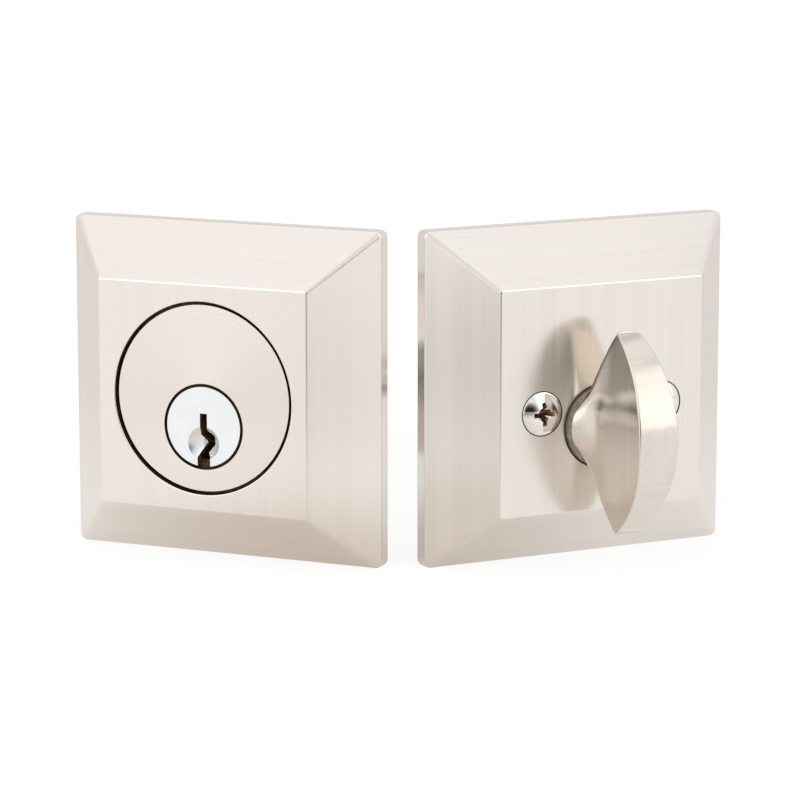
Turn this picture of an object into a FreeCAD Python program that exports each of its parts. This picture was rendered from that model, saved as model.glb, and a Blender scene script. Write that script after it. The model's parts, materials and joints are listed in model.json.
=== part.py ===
"""Square-rose deadbolt: keyed outside half, thumbturn inside half, latch and strike.

Millimetres, +Z up. The two halves stand side by side on the floor, each turned a
little outwards, and the latch and the strike lie on the floor behind them.
Each half is drawn in a door frame of its own: X to the right, Z up, and the face of
the door at Y = 0, so that "forward" of the door is towards -Y.
"""
import FreeCAD, Part
import math
import os
from types import SimpleNamespace

import Sketcher

Vector = FreeCAD.Vector
Rotation = FreeCAD.Rotation
Placement = FreeCAD.Placement

doc = FreeCAD.newDocument("Deadbolt")

# ---------------------------------------------------------------- driving dimensions

DIMENSIONS = (
    # roses
    ("rose_width", 63.5, "square rose, outside, 2-1/2 in"),
    ("rose_depth", 13.6, "door face to the flat front of the rose"),
    ("rose_side", 3.0, "straight side wall below the bevel"),
    ("rose_face", 42.8, "square flat front of the rose"),
    ("rose_wall", 1.8, "thickness of the rose shell"),
    ("rose_corner", 2.2, "corner radius at the door"),
    ("face_corner", 0.5, "corner radius at the flat front"),
    ("rose_edge", 0.3, "softened edges of the front"),
    ("axis_drop", 5.4, "turning axis below the middle of the rose"),
    ("backplate_thick", 2.0, "steel plate inside each rose"),
    ("backplate_gap", 0.4, "play between a backplate and the rose walls"),
    ("backplate_hole", 9.0, "two lightening holes in a backplate"),
    ("backplate_hole_spread", 17.0, "those holes beside the middle"),
    ("backplate_hole_rise", 20.0, "those holes above the middle"),
    # cylinder
    ("housing_diameter", 35.2, "cylinder housing"),
    ("housing_gap", 0.65, "gap round the housing in the rose"),
    ("face_recess", 0.5, "housing face behind the rose front"),
    ("housing_reach", 18.0, "housing behind the door face"),
    ("flange_lip", 2.0, "width of the housing flange"),
    ("flange_thick", 2.0, "thickness of the housing flange"),
    ("plug_diameter", 12.7, "keyed plug"),
    ("head_diameter", 15.1, "head of the plug"),
    ("head_thick", 1.4, "thickness of the plug head"),
    ("head_gap", 0.6, "ring gap round the plug head"),
    ("running_gap", 0.05, "radial play of turned fits"),
    ("end_gap", 0.1, "axial play of turned fits"),
    ("plug_tail", 2.0, "plug behind the housing"),
    ("key_width", 1.45, "width of the keyway"),
    ("key_top", 2.5, "top of the keyway above the axis"),
    ("key_jog", 1.5, "sideways jog of the keyway"),
    ("dimple_radius", 3.2, "milled dimple that leads the key in"),
    ("dimple_depth", 0.5, "depth of the dimple"),
    ("pin_diameter", 2.9, "pin tumblers"),
    ("pin_pitch", 3.97, "distance between pin tumblers"),
    ("first_pin", 7.0, "first pin behind the plug face"),
    ("shear_gap", 0.25, "pin ends to the shear line"),
    ("key_cut_depth", 0.4, "between neighbouring cuts of the key"),
    ("pin_travel", 0.8, "drop of a bottom pin towards the keyway"),
    ("driver_length", 4.4, "driver pins"),
    ("cap_height", 20.6, "underside of the chamber cap above the axis"),
    ("cap_thick", 1.2, "chamber cap strip"),
    ("cap_width", 3.8, "chamber cap strip"),
    ("spring_wire", 0.3, "wire of the pin springs"),
    ("spring_radius", 1.1, "mean radius of the pin springs"),
    ("tail_cap_diameter", 14.2, "cap that holds the tailpiece"),
    ("tail_cap_wall", 1.2, "wall of that cap"),
    ("tail_disc_thick", 1.4, "disc of the tailpiece"),
    ("tail_width", 6.4, "tailpiece blade"),
    ("tail_thick", 1.6, "tailpiece blade"),
    ("tail_reach", 50.0, "tip of the tailpiece behind the door face"),
    # mounting screws
    ("screw_spacing", 25.4, "between the two mounting screws"),
    ("screw_rise", 3.25, "mounting screws above the turning axis"),
    ("screw_shank", 4.1, "screw shank"),
    ("screw_head", 8.6, "oval screw head"),
    ("screw_cone", 2.4, "depth of the countersink"),
    ("screw_dome", 0.9, "height of the oval head"),
    ("screw_reach", 31.0, "screw tip behind the door face"),
    ("screw_play", 0.25, "radial play of a screw in its hole"),
    ("thread_hole", 3.5, "threaded hole in the housing"),
    ("thread_depth", 16.0, "depth of that hole"),
    ("post_diameter", 7.5, "screw post inside the rose"),
    ("cross_width", 1.1, "arm of the cross recess"),
    ("cross_length", 4.6, "span of the cross recess"),
    ("cross_depth", 2.0, "depth of the cross recess"),
    # thumbturn
    ("turn_opening", 16.1, "opening in the rose for the thumbturn"),
    ("turn_collar", 15.4, "collar of the thumbturn"),
    ("turn_shank", 10.0, "shank in the bushing"),
    ("turn_root", 14.8, "front of the collar before the door face"),
    ("turn_dome", 14.2, "where the grip grows from the collar, across"),
    ("turn_front", 34.7, "front of the grip before the door face"),
    ("turn_radius", 21.0, "radius of the curved front"),
    ("turn_width", 8.3, "grip across its front"),
    ("turn_height", 37.0, "grip from tip to tip"),
    ("bush_diameter", 18.4, "thumbturn bushing"),
    ("bush_thick", 1.6, "thumbturn bushing"),
    ("washer_thick", 0.9, "wave washer"),
    ("ring_thick", 0.8, "retaining ring"),
    ("ring_diameter", 14.0, "retaining ring"),
    ("socket_diameter", 7.9, "drive socket for the tailpiece"),
    ("slot_play", 0.2, "play of the tailpiece in a slot"),
    # latch
    ("backset", 60.0, "latch front to the turning axis"),
    ("bolt_throw", 25.4, "travel of the bolt"),
    ("bolt_radius", 10.6, "rounded sides of the bolt"),
    ("bolt_thick", 15.9, "between the flat sides of the bolt"),
    ("bolt_rest", 0.8, "bolt drawn in, to the floor of its tube"),
    ("bolt_gap", 0.1, "play of the bolt in its tube"),
    ("tube_wall", 1.2, "latch tube and case"),
    ("front_width", 25.4, "latch front"),
    ("front_height", 57.15, "latch front"),
    ("front_corner", 3.2, "corner radius of the latch front"),
    ("front_thick", 2.4, "latch front"),
    ("backing_thick", 1.6, "plate behind the latch front"),
    ("front_screw_spacing", 41.3, "screws of the latch front"),
    ("wood_screw_length", 19.0, "wood screws"),
    ("pin_line", 12.7, "line of the tail pin beside the hub axis"),
    ("tail_pin_diameter", 4.0, "pin of the bolt tail"),
    ("fork_play", 1.15, "play of the tail pin in the fork"),
    ("fork_reach", 19.0, "tip of the fork"),
    ("fork_tine", 1.8, "width of a tine"),
    ("fork_thick", 2.6, "thickness of the fork"),
    ("hub_radius", 4.5, "hub of the latch cam"),
    ("journal_radius", 4.1, "journals of the latch cam"),
    ("case_depth", 9.2, "latch case, outside"),
    ("case_rear", 19.8, "rear end of the latch case"),
    ("case_front", 19.8, "front end of the latch case"),
    ("case_base", 5.8, "closed side of the latch case"),
    ("case_crown", 16.4, "open side of the latch case"),
    ("case_corner", 3.0, "cut corners of the latch case"),
    ("rivet_spread", 15.5, "case rivets beside the hub axis"),
    ("rivet_drop", 2.4, "case rivets below the hub axis"),
    ("rivet_diameter", 3.0, "case rivets"),
    ("rod_diameter", 5.8, "hardened rod in the bolt"),
    ("bar_height", 1.9, "straight bar of the bolt tail"),
    ("bar_level", 9.4, "bar of the bolt tail beside the axis"),
    ("bar_offset", 1.5, "bolt tail beside the fork"),
    ("bar_thick", 1.6, "plate of the bolt tail"),
    # strike
    ("strike_width", 28.6, "strike plate"),
    ("strike_length", 69.9, "strike plate"),
    ("strike_thick", 2.4, "strike plate"),
    ("strike_hole_width", 18.5, "bolt opening of the strike"),
    ("strike_hole_length", 24.0, "bolt opening of the strike"),
    ("strike_screw_spacing", 57.2, "strike screws"),
    ("box_depth", 30.0, "dust box"),
    ("box_margin", 2.8, "dust box beyond the bolt opening"),
    ("box_wall", 1.2, "dust box"),
    ("box_flange", 1.8, "rim of the dust box"),
    # layout on the floor
    ("halves_apart", 63.0, "between the middles of the two halves"),
    ("halves_back", -38.0, "door faces of the halves, front to back"),
    ("half_angle", 25.0, "turn of each half, in degrees"),
    ("latch_side", 32.5, "latch left of the middle"),
    ("latch_back", 11.0, "hub axis of the latch, front to back"),
    ("strike_side", 34.0, "strike right of the middle"),
    ("strike_back", 33.6, "middle of the strike, front to back"),
)

sheet = doc.addObject("Spreadsheet::Sheet", "Sizes")
for row, (alias, number, note) in enumerate(DIMENSIONS, start=1):
    sheet.set(f"A{row}", str(number))
    sheet.setAlias(f"A{row}", alias)
    sheet.set(f"B{row}", note)
doc.recompute()


class Size:
    """A length that holds its number and the expression that FreeCAD is bound to."""

    def __init__(self, number, text):
        self.number = number
        self.text = text

    def join(self, sign, other, number):
        return Size(number, f"({self.text} {sign} {size(other).text})")

    def __add__(self, other):
        return self.join("+", other, self.number + size(other).number)

    def __sub__(self, other):
        return self.join("-", other, self.number - size(other).number)

    def __mul__(self, other):
        return self.join("*", other, self.number * size(other).number)

    def __truediv__(self, other):
        return self.join("/", other, self.number / size(other).number)

    def __neg__(self):
        return Size(-self.number, f"(0 - {self.text})")

    def root(self):
        return Size(self.number ** 0.5, f"({self.text})^0.5")


def size(value):
    return value if isinstance(value, Size) else Size(float(value), repr(float(value)))


S = SimpleNamespace(**{
    alias: Size(float(sheet.get(alias)), f"Sizes.{alias}") for alias, number, note in DIMENSIONS
})

# ---------------------------------------------------------------- worked-out sizes

half_rose = S.rose_width / 2
axis_height = half_rose - S.axis_drop
inner_front = S.rose_depth - S.rose_wall
face_front = S.rose_depth - S.face_recess
rose_opening = S.housing_diameter / 2 + S.housing_gap
plug_radius = S.plug_diameter / 2
plug_bore = plug_radius + S.running_gap
head_radius = S.head_diameter / 2
plug_end = -S.housing_reach - S.plug_tail
pin_radius = S.pin_diameter / 2
chamber_radius = pin_radius + S.running_gap
driver_base = plug_bore + S.running_gap
spring_base = driver_base + S.driver_length + S.end_gap
spring_top = S.cap_height - S.end_gap
screw_half = S.screw_spacing / 2
tail_cap_front = -S.housing_reach - S.end_gap * 2
tail_disc_front = plug_end - S.end_gap * 2
tail_cap_floor = tail_disc_front - S.tail_disc_thick - S.end_gap
bush_back = inner_front - S.bush_thick
washer_back = bush_back - S.washer_thick
ring_front = washer_back - S.end_gap
bolt_flat = S.bolt_thick / 2
tube_floor = S.case_front + S.tube_wall
bolt_rear = tube_floor + S.bolt_rest
bolt_length = S.backset - bolt_rear
tube_inner = S.bolt_radius + S.bolt_gap
tube_outer = tube_inner + S.tube_wall
plate_rear = S.backset - S.front_thick
backing_rear = plate_rear - S.backing_thick
case_half = S.case_depth / 2
fork_slot = S.tail_pin_diameter / 2 + S.fork_play
fork_bottom = S.pin_line - S.tail_pin_diameter / 2 - S.end_gap * 5
box_half_width = S.strike_hole_width / 2 + S.box_margin
box_half_length = S.strike_hole_length / 2 + S.box_margin
strike_top = S.box_depth + S.strike_thick

# ---------------------------------------------------------------- drawing tools

PARTS = []


def bind(thing, name, value):
    """Give a property its size and bind it to the spreadsheet."""
    value = size(value)
    setattr(thing, name, value.number)
    if "Sizes." in value.text:
        thing.setExpression(name, value.text)


def new_body(label):
    body = doc.addObject("PartDesign::Body", label)
    body.Label = label
    PARTS.append(body)
    return body


def attach(thing, body, plane, offset=0, at=(0, 0), turn=0):
    """Lay a sketch or primitive on one of the body's own planes."""
    origin = body.Origin.OriginFeatures
    thing.AttachmentSupport = [(next(f for f in origin if f.Role == plane), "")]
    thing.MapMode = "FlatFace"
    thing.AttachmentOffset = Placement(Vector(), Rotation(Vector(0, 0, 1), turn))
    for axis, value in zip("xyz", (*at, offset)):
        value = size(value)
        if value.text != "0.0":
            thing.setExpression(f"AttachmentOffset.Base.{axis}", value.text)
    doc.recompute([thing])


def new_sketch(body, plane, offset=0, at=(0, 0), turn=0):
    sketch = body.newObject("Sketcher::SketchObject", body.Name + "_sketch")
    attach(sketch, body, plane, offset, at, turn)
    return sketch


def constrain(sketch, kind, *refs):
    """Add a constraint; a last reference that is a Size is bound."""
    last = refs[-1]
    if isinstance(last, Size):
        number = sketch.addConstraint(Sketcher.Constraint(kind, *refs[:-1], last.number))
        if "Sizes." in last.text:
            sketch.setExpression(f"Constraints[{number}]", last.text)
    else:
        sketch.addConstraint(Sketcher.Constraint(kind, *refs))


def draw_polygon(sketch, points):
    """A closed outline of straight lines through the points."""
    points = [(size(x), size(y)) for x, y in points]
    corners = [Vector(x.number, y.number, 0) for x, y in points]
    first = sketch.GeometryCount
    count = len(points)
    for start, end in zip(corners, corners[1:] + corners[:1]):
        sketch.addGeometry(Part.LineSegment(start, end), False)
    for index in range(count):
        constrain(sketch, "Coincident", first + index, 2, first + (index + 1) % count, 1)
    for index, (x, y) in enumerate(points):
        constrain(sketch, "DistanceX", first + index, 1, x)
        constrain(sketch, "DistanceY", first + index, 1, y)


def draw_circle(sketch, radius, at=(0, 0)):
    x, y, radius = size(at[0]), size(at[1]), size(radius)
    centre = Vector(x.number, y.number, 0)
    index = sketch.addGeometry(Part.Circle(centre, Vector(0, 0, 1), radius.number), False)
    constrain(sketch, "Radius", index, radius)
    constrain(sketch, "DistanceX", index, 3, x)
    constrain(sketch, "DistanceY", index, 3, y)


def draw_rounded(sketch, width, height, radius):
    """A rectangle about the sketch's origin with rounded corners."""
    width, height, radius = size(width), size(height), size(radius)
    x, y, r = width.number / 2, height.number / 2, radius.number
    ends = (((r - x, -y), (x - r, -y)), ((x, r - y), (x, y - r)),
            ((x - r, y), (r - x, y)), ((-x, y - r), (-x, r - y)))
    centres = ((x - r, r - y, -90), (x - r, y - r, 0), (r - x, y - r, 90), (r - x, r - y, 180))
    for start, end in ends:
        sketch.addGeometry(Part.LineSegment(Vector(*start, 0), Vector(*end, 0)), False)
    for cx, cy, angle in centres:
        circle = Part.Circle(Vector(cx, cy, 0), Vector(0, 0, 1), r)
        start, end = math.radians(angle), math.radians(angle + 90)
        sketch.addGeometry(Part.ArcOfCircle(circle, start, end), False)
    for side in range(4):
        constrain(sketch, "Tangent", side, 2, 4 + side, 1)
        constrain(sketch, "Tangent", 4 + side, 2, (side + 1) % 4, 1)
    for side in (0, 2):
        constrain(sketch, "Horizontal", side)
        constrain(sketch, "Vertical", side + 1)
    for corner in (5, 6, 7):
        constrain(sketch, "Equal", 4, corner)
    constrain(sketch, "Radius", 4, radius)
    constrain(sketch, "Symmetric", 4, 3, 6, 3, -1, 1)
    constrain(sketch, "DistanceX", 6, 3, 4, 3, width - radius * 2)
    constrain(sketch, "DistanceY", 4, 3, 5, 3, height - radius * 2)


def draw_flatted(sketch, radius, flat):
    """A circle about the sketch's origin with two flats, at plus and minus flat in x."""
    radius, flat = size(radius), size(flat)
    rise = (radius * radius - flat * flat).root()
    x, y = flat.number, rise.number
    sketch.addGeometry(Part.LineSegment(Vector(x, -y, 0), Vector(x, y, 0)), False)
    sketch.addGeometry(Part.Arc(Vector(x, y, 0), Vector(0, radius.number, 0), Vector(-x, y, 0)), False)
    sketch.addGeometry(Part.LineSegment(Vector(-x, y, 0), Vector(-x, -y, 0)), False)
    sketch.addGeometry(Part.Arc(Vector(-x, -y, 0), Vector(0, -radius.number, 0), Vector(x, -y, 0)), False)
    constrain(sketch, "Coincident", 0, 2, 1, 1)
    constrain(sketch, "Coincident", 1, 2, 2, 1)
    constrain(sketch, "Coincident", 2, 2, 3, 1)
    constrain(sketch, "Coincident", 3, 2, 0, 1)
    for line in (0, 2):
        constrain(sketch, "Vertical", line)
    for arc in (1, 3):
        constrain(sketch, "Coincident", arc, 3, -1, 1)
    constrain(sketch, "Radius", 1, radius)
    constrain(sketch, "DistanceX", -1, 1, 0, 1, flat)
    constrain(sketch, "DistanceX", 2, 1, -1, 1, flat)


def pad(body, sketch, length, backward=False):
    feature = body.newObject("PartDesign::Pad", body.Name + "_pad")
    feature.Profile = sketch
    bind(feature, "Length", length)
    feature.Reversed = backward
    doc.recompute()
    return feature


def pocket(body, sketch, length=None, along=True):
    """Cut along the sketch's normal, or against it; without a length, right through both ways."""
    before = body.Shape.Volume
    feature = body.newObject("PartDesign::Pocket", body.Name + "_pocket")
    feature.Profile = sketch
    if length is None:
        feature.Type = "ThroughAll"
        feature.Midplane = True
    else:
        bind(feature, "Length", length)
        feature.Reversed = along
    doc.recompute()
    if not body.Shape.Volume < before:
        raise RuntimeError(f"{feature.Name} cuts nothing")
    return feature


def turned(body, points, plane="XY_Plane", axis="V_Axis"):
    """A solid of revolution of an outline in the XY plane, about the Y or the X axis."""
    sketch = new_sketch(body, plane)
    draw_polygon(sketch, points)
    feature = body.newObject("PartDesign::Revolution", body.Name + "_turned")
    feature.Profile = sketch
    feature.ReferenceAxis = (sketch, [axis])
    feature.Angle = 360
    doc.recompute()
    return feature


def forward(points):
    """Outline points given as (radius, distance before the door face)."""
    return [(radius, -size(distance)) for radius, distance in points]


def cone_cut(body, plane, offset, at, wide, narrow, depth):
    """A countersink whose wide end lies at the offset and which narrows against the normal."""
    before = body.Shape.Volume
    cone = body.newObject("PartDesign::SubtractiveCone", body.Name + "_countersink")
    attach(cone, body, plane, size(offset) - depth, at)
    bind(cone, "Radius1", narrow)
    bind(cone, "Radius2", wide)
    bind(cone, "Height", depth)
    doc.recompute()
    if not body.Shape.Volume < before:
        raise RuntimeError(f"{cone.Name} cuts nothing")


SAME = 0.001    # edges nearer than this to a plane lie in it


def soften(body, radius, choose):
    """Fillet the edges of the body's tip that the choice accepts."""
    tip = body.Tip
    names = [f"Edge{number}" for number, edge in enumerate(tip.Shape.Edges, 1) if choose(edge)]
    feature = body.newObject("PartDesign::Fillet", body.Name + "_soft_edge")
    feature.Base = (tip, names)
    bind(feature, "Radius", radius)
    doc.recompute()


# ---------------------------------------------------------------- frames on the floor

Z_AXIS = Vector(0, 0, 1)


def half_frame(side, turn):
    middle = Vector(side * S.halves_apart.number / 2, S.halves_back.number, 0)
    return Placement(middle, Rotation(Z_AXIS, turn))


OUTSIDE = half_frame(-1, -S.half_angle.number)
INSIDE = half_frame(1, S.half_angle.number)
LATCH = Placement(Vector(-S.latch_side.number, S.latch_back.number, S.front_width.number / 2),
                  Rotation(Vector(1, 1, 1), 120))
STRIKE = Placement(Vector(S.strike_side.number, S.strike_back.number, 0), Rotation())


def place(body, frame, x=0, y=0, z=0, rotation=None):
    spot = Vector(size(x).number, size(y).number, size(z).number)
    body.Placement = frame * Placement(spot, rotation or Rotation())


# ---------------------------------------------------------------- roses and backplates

def rose_shell(label, frame):
    """The bevelled square shell, open at the door, without its front openings."""
    body = new_body(label)
    skirt = new_sketch(body, "XZ_Plane")
    draw_rounded(skirt, S.rose_width, S.rose_width, S.rose_corner)
    pad(body, skirt, S.rose_side)
    frustum(body, "PartDesign::AdditiveLoft",
            (S.rose_side, S.rose_width, S.rose_corner), (S.rose_depth, S.rose_face, S.face_corner))
    cavity_width = S.rose_width - S.rose_wall * 2
    inward = S.rose_wall * 0.4      # the inside of the bevel lies this much further in and down
    shoulder = S.rose_side - inward
    cavity = new_sketch(body, "XZ_Plane")
    draw_rounded(cavity, cavity_width, cavity_width, S.face_corner)
    pocket(body, cavity, shoulder)
    frustum(body, "PartDesign::SubtractiveLoft",
            (shoulder, cavity_width, S.face_corner),
            (inner_front, S.rose_face - inward * 2, S.face_corner))

    def outline(edge):
        spot = edge.BoundBox
        return spot.YLength < SAME and min(abs(spot.YMin + S.rose_depth.number),
                                           abs(spot.YMin + S.rose_side.number)) < SAME

    soften(body, S.rose_edge, outline)
    place(body, frame, z=half_rose)
    return body


def frustum(body, kind, *sections):
    """A loft between two rounded squares, each given as offset, width and corner radius."""
    sketches = []
    for offset, width, corner in sections:
        sketch = new_sketch(body, "XZ_Plane", offset)
        draw_rounded(sketch, width, width, corner)
        sketches.append(sketch)
    loft = body.newObject(kind, body.Name + "_bevel")
    loft.Profile = sketches[0]
    loft.Sections = [(sketches[1], [""])]
    loft.Ruled = True
    doc.recompute()


def round_opening(body, radius, height=0):
    """A round opening through the front of a rose, with a softened edge."""
    sketch = new_sketch(body, "XZ_Plane", inner_front - S.rose_wall)
    draw_circle(sketch, radius, (0, height))
    pocket(body, sketch, S.rose_wall * 3)

    def front_rim(edge):
        at_front = abs(edge.BoundBox.YMin + S.rose_depth.number) < SAME
        return at_front and edge.BoundBox.YLength < SAME and hasattr(edge.Curve, "Radius") \
            and abs(edge.Curve.Radius - size(radius).number) < SAME

    soften(body, S.rose_edge, front_rim)


def make_outside_rose():
    body = rose_shell("exterior_rose", OUTSIDE)
    round_opening(body, rose_opening)


def make_inside_rose():
    body = rose_shell("interior_rose", INSIDE)
    height = S.screw_rise - S.axis_drop
    posts = new_sketch(body, "XZ_Plane", S.backplate_thick)
    for side in (-1, 1):
        draw_circle(posts, S.post_diameter / 2, (screw_half * side, height))
    pad(body, posts, inner_front - S.backplate_thick + S.rose_wall / 2)
    holes = new_sketch(body, "XZ_Plane", S.backplate_thick)
    for side in (-1, 1):
        draw_circle(holes, S.screw_shank / 2 + S.screw_play, (screw_half * side, height))
    pocket(body, holes, S.rose_depth)
    for side in (-1, 1):
        cone_cut(body, "XZ_Plane", S.rose_depth, (screw_half * side, height),
                 S.screw_head / 2, S.screw_shank / 2, S.screw_cone)
    round_opening(body, S.turn_opening / 2, -S.axis_drop)


def make_backplates():
    """The steel plates that lie against the door inside the roses."""
    plate_width = S.rose_width - S.rose_wall * 2 - S.backplate_gap * 2
    screws = [(screw_half * side, S.screw_rise - S.axis_drop, S.screw_shank / 2 + S.screw_play)
              for side in (-1, 1)]
    plates = (("exterior_backplate", OUTSIDE, ((0, 0, S.housing_diameter / 2 + S.end_gap),)),
              ("interior_backplate", INSIDE, ((0, -S.axis_drop, S.bush_diameter / 2), *screws)))
    for label, frame, openings in plates:
        body = new_body(label)
        outline = new_sketch(body, "XZ_Plane")
        draw_rounded(outline, plate_width, plate_width, S.rose_corner)
        pad(body, outline, S.backplate_thick)
        holes = new_sketch(body, "XZ_Plane")
        for x, z, radius in openings:
            draw_circle(holes, radius, (x, z))
        for side in (-1, 1):
            draw_circle(holes, S.backplate_hole / 2,
                        (S.backplate_hole_spread * side, S.backplate_hole_rise))
        pocket(body, holes, S.backplate_thick)
        place(body, frame, z=half_rose)


# ---------------------------------------------------------------- cylinder

PIN_COUNT = 5


def make_housing():
    body = new_body("cylinder_housing")
    radius = S.housing_diameter / 2
    flange = rose_opening + S.flange_lip - S.housing_gap
    turned(body, forward((
        (0, face_front), (radius, face_front), (radius, inner_front), (flange, inner_front),
        (flange, inner_front - S.flange_thick), (radius, inner_front - S.flange_thick),
        (radius, -S.housing_reach), (0, -S.housing_reach))))
    bore = new_sketch(body, "XZ_Plane", -S.housing_reach, (0, -S.axis_drop))
    draw_circle(bore, plug_bore)
    pocket(body, bore, S.housing_reach + S.rose_depth)
    recess = new_sketch(body, "XZ_Plane", face_front - S.head_thick - S.end_gap, (0, -S.axis_drop))
    draw_circle(recess, head_radius + S.head_gap)
    pocket(body, recess, S.rose_depth)
    chambers = new_sketch(body, "XY_Plane", -S.axis_drop)
    for index in range(PIN_COUNT):
        draw_circle(chambers, chamber_radius, (0, -pin_forward(index)))
    pocket(body, chambers, S.cap_height)
    slot = new_sketch(body, "XY_Plane", S.cap_height - S.axis_drop)
    draw_polygon(slot, cap_outline())
    pocket(body, slot, S.housing_diameter)
    threads = new_sketch(body, "XZ_Plane", -S.housing_reach, (0, S.screw_rise - S.axis_drop))
    for side in (-1, 1):
        draw_circle(threads, S.thread_hole / 2, (screw_half * side, 0))
    pocket(body, threads, S.thread_depth)
    place(body, OUTSIDE, z=half_rose)


def pin_forward(index):
    """How far before the door face a pin tumbler stands."""
    return face_front - S.first_pin - S.pin_pitch * index


def cap_outline():
    """The slot above the pin chambers, seen from above."""
    front = -pin_forward(0) - S.pin_pitch / 2
    rear = -pin_forward(PIN_COUNT - 1) + S.pin_pitch / 2
    half = S.cap_width / 2
    return (-half, front), (half, front), (half, rear), (-half, rear)


def make_chamber_cap():
    body = new_body("chamber_cap")
    outline = new_sketch(body, "XY_Plane")
    draw_polygon(outline, cap_outline())
    pad(body, outline, S.cap_thick)
    place(body, OUTSIDE, z=axis_height + S.cap_height)


def make_plug():
    body = new_body("plug")
    turned(body, forward((
        (0, face_front), (head_radius, face_front), (head_radius, face_front - S.head_thick),
        (plug_radius, face_front - S.head_thick), (plug_radius, plug_end), (0, plug_end))))
    cone_cut(body, "XZ_Plane", face_front, (0, -plug_radius / 2),
             S.dimple_radius, S.dimple_radius / 2, S.dimple_depth)
    keyway = new_sketch(body, "XZ_Plane", -S.housing_reach)
    draw_polygon(keyway, keyway_outline())
    pocket(body, keyway, S.housing_reach + S.rose_depth)
    lowest = min((pin_foot(index) for index in range(PIN_COUNT)), key=lambda foot: foot.number)
    chambers = new_sketch(body, "XY_Plane", lowest - S.pin_travel - S.end_gap)
    for index in range(PIN_COUNT):
        draw_circle(chambers, chamber_radius, (0, -pin_forward(index)))
    pocket(body, chambers, S.plug_diameter)
    place(body, OUTSIDE, z=axis_height)


def keyway_outline():
    """The keyway: a straight top, one jog to the right and an open foot."""
    half = S.key_width / 2
    right = half + S.key_jog
    foot = head_radius * 2
    return ((-half, S.key_top), (half, S.key_top), (half, -half), (right, -S.key_jog * 1.1),
            (right, -S.key_width * 2.2), (half * 1.2, -S.key_width * 3.4),
            (S.key_width * 0.9, -S.key_width * 4), (S.key_width * 0.9, -foot),
            (-S.key_width * 0.9, -foot), (-S.key_width * 0.9, -S.key_width * 4),
            (-half, -S.key_width * 3.3), (half * 0.9, -S.key_width * 2),
            (-half, -S.key_width * 1.1))


def pin_foot(index):
    """Lower end of a bottom pin; the cuts of a key differ from pin to pin."""
    steps = (0, 2, 1, 3, 1)
    return S.key_top - S.key_cut_depth * steps[index]


def make_pins():
    """Bottom pins inside the plug, driver pins and springs above the shear line."""
    for index in range(PIN_COUNT):
        height = plug_radius - S.shear_gap - pin_foot(index)
        bottom = new_body(f"bottom_pin_{index + 1}")
        tip = pin_radius / 2
        turned(bottom, ((0, 0), (tip, 0), (pin_radius, tip), (pin_radius, height - tip / 2),
                        (tip, height), (0, height)), plane="XZ_Plane")
        place(bottom, OUTSIDE, y=-pin_forward(index), z=axis_height + pin_foot(index))

        driver = new_body(f"driver_pin_{index + 1}")
        neck = pin_radius / 4
        turned(driver, ((0, 0), (pin_radius - neck, 0), (pin_radius, neck),
                        (pin_radius, S.driver_length - neck), (pin_radius - neck, S.driver_length),
                        (0, S.driver_length)), plane="XZ_Plane")
        place(driver, OUTSIDE, y=-pin_forward(index), z=axis_height + driver_base)
        make_pin_spring(index)


def make_pin_spring(index):
    """A coil spring: round wire swept along a helix between the driver and the cap."""
    wire = S.spring_wire.number
    length = spring_top.number - spring_base.number - wire
    turns = 7
    helix = Part.makeHelix(length / turns, length, S.spring_radius.number)
    start = Vector(S.spring_radius.number, 0, 0)
    section = Part.Wire(Part.makeCircle(wire / 2, start, Vector(0, 1, 0)))
    spring = doc.addObject("Part::Feature", f"pin_spring_{index + 1}")
    spring.Label = f"pin_spring_{index + 1}"
    spring.Shape = Part.Wire(helix.Edges).makePipeShell([section], True, True)
    PARTS.append(spring)
    place(spring, OUTSIDE, y=-pin_forward(index), z=axis_height + spring_base + wire / 2)


def make_tailpiece():
    """The cap on the end of the plug, and the flat tailpiece that turns inside it."""
    cap = new_body("plug_cap")
    outer = S.tail_cap_diameter / 2
    inner = outer - S.tail_cap_wall
    floor_back = tail_cap_floor - S.tail_cap_wall
    opening = S.tail_width / 2 + S.slot_play * 2
    turned(cap, forward((
        (plug_radius, tail_cap_front), (outer, tail_cap_front), (outer, floor_back),
        (opening, floor_back), (opening, tail_cap_floor), (inner, tail_cap_floor),
        (inner, plug_end), (plug_radius, plug_end))))
    place(cap, OUTSIDE, z=axis_height)

    tail = new_body("tailpiece")
    disc_back = tail_disc_front - S.tail_disc_thick
    disc = inner - S.end_gap
    turned(tail, forward(((0, tail_disc_front), (disc, tail_disc_front),
                          (disc, disc_back), (0, disc_back))))
    blade = new_sketch(tail, "XZ_Plane", disc_back)
    draw_rounded(blade, S.tail_thick, S.tail_width, S.end_gap * 3)
    pad(tail, blade, S.tail_reach + disc_back, backward=True)
    place(tail, OUTSIDE, z=axis_height)


# ---------------------------------------------------------------- thumbturn and screws

# Sections of the grip from its root to its front: distance along the grip, then half
# the width at the middle, half the width at the ends, and half the height, each as a
# share of the grip's length, of half its width, and of half its height.
GRIP_SECTIONS = (
    (0.10, 1.28, 0.86, 0.51),
    (0.22, 0.99, 0.72, 0.75),
    (0.37, 0.89, 0.54, 1.00),
    (0.60, 0.89, 0.60, 1.12),
    (1.08, 1.02, 0.50, 1.20),
)


def grip_section(distance, middle, end, height):
    """A closed outline across the grip: two bowed sides and two short bowed ends."""
    bow = end * 0.25
    cap = height + bow

    def point(x, z):
        return Vector(x, -distance, z)

    return Part.Wire([
        Part.Arc(point(end, height), point(middle, 0), point(end, -height)).toShape(),
        Part.Arc(point(end, -height), point(0, -cap), point(-end, -height)).toShape(),
        Part.Arc(point(-end, -height), point(-middle, 0), point(-end, height)).toShape(),
        Part.Arc(point(-end, height), point(0, cap), point(end, height)).toShape(),
    ])


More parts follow.
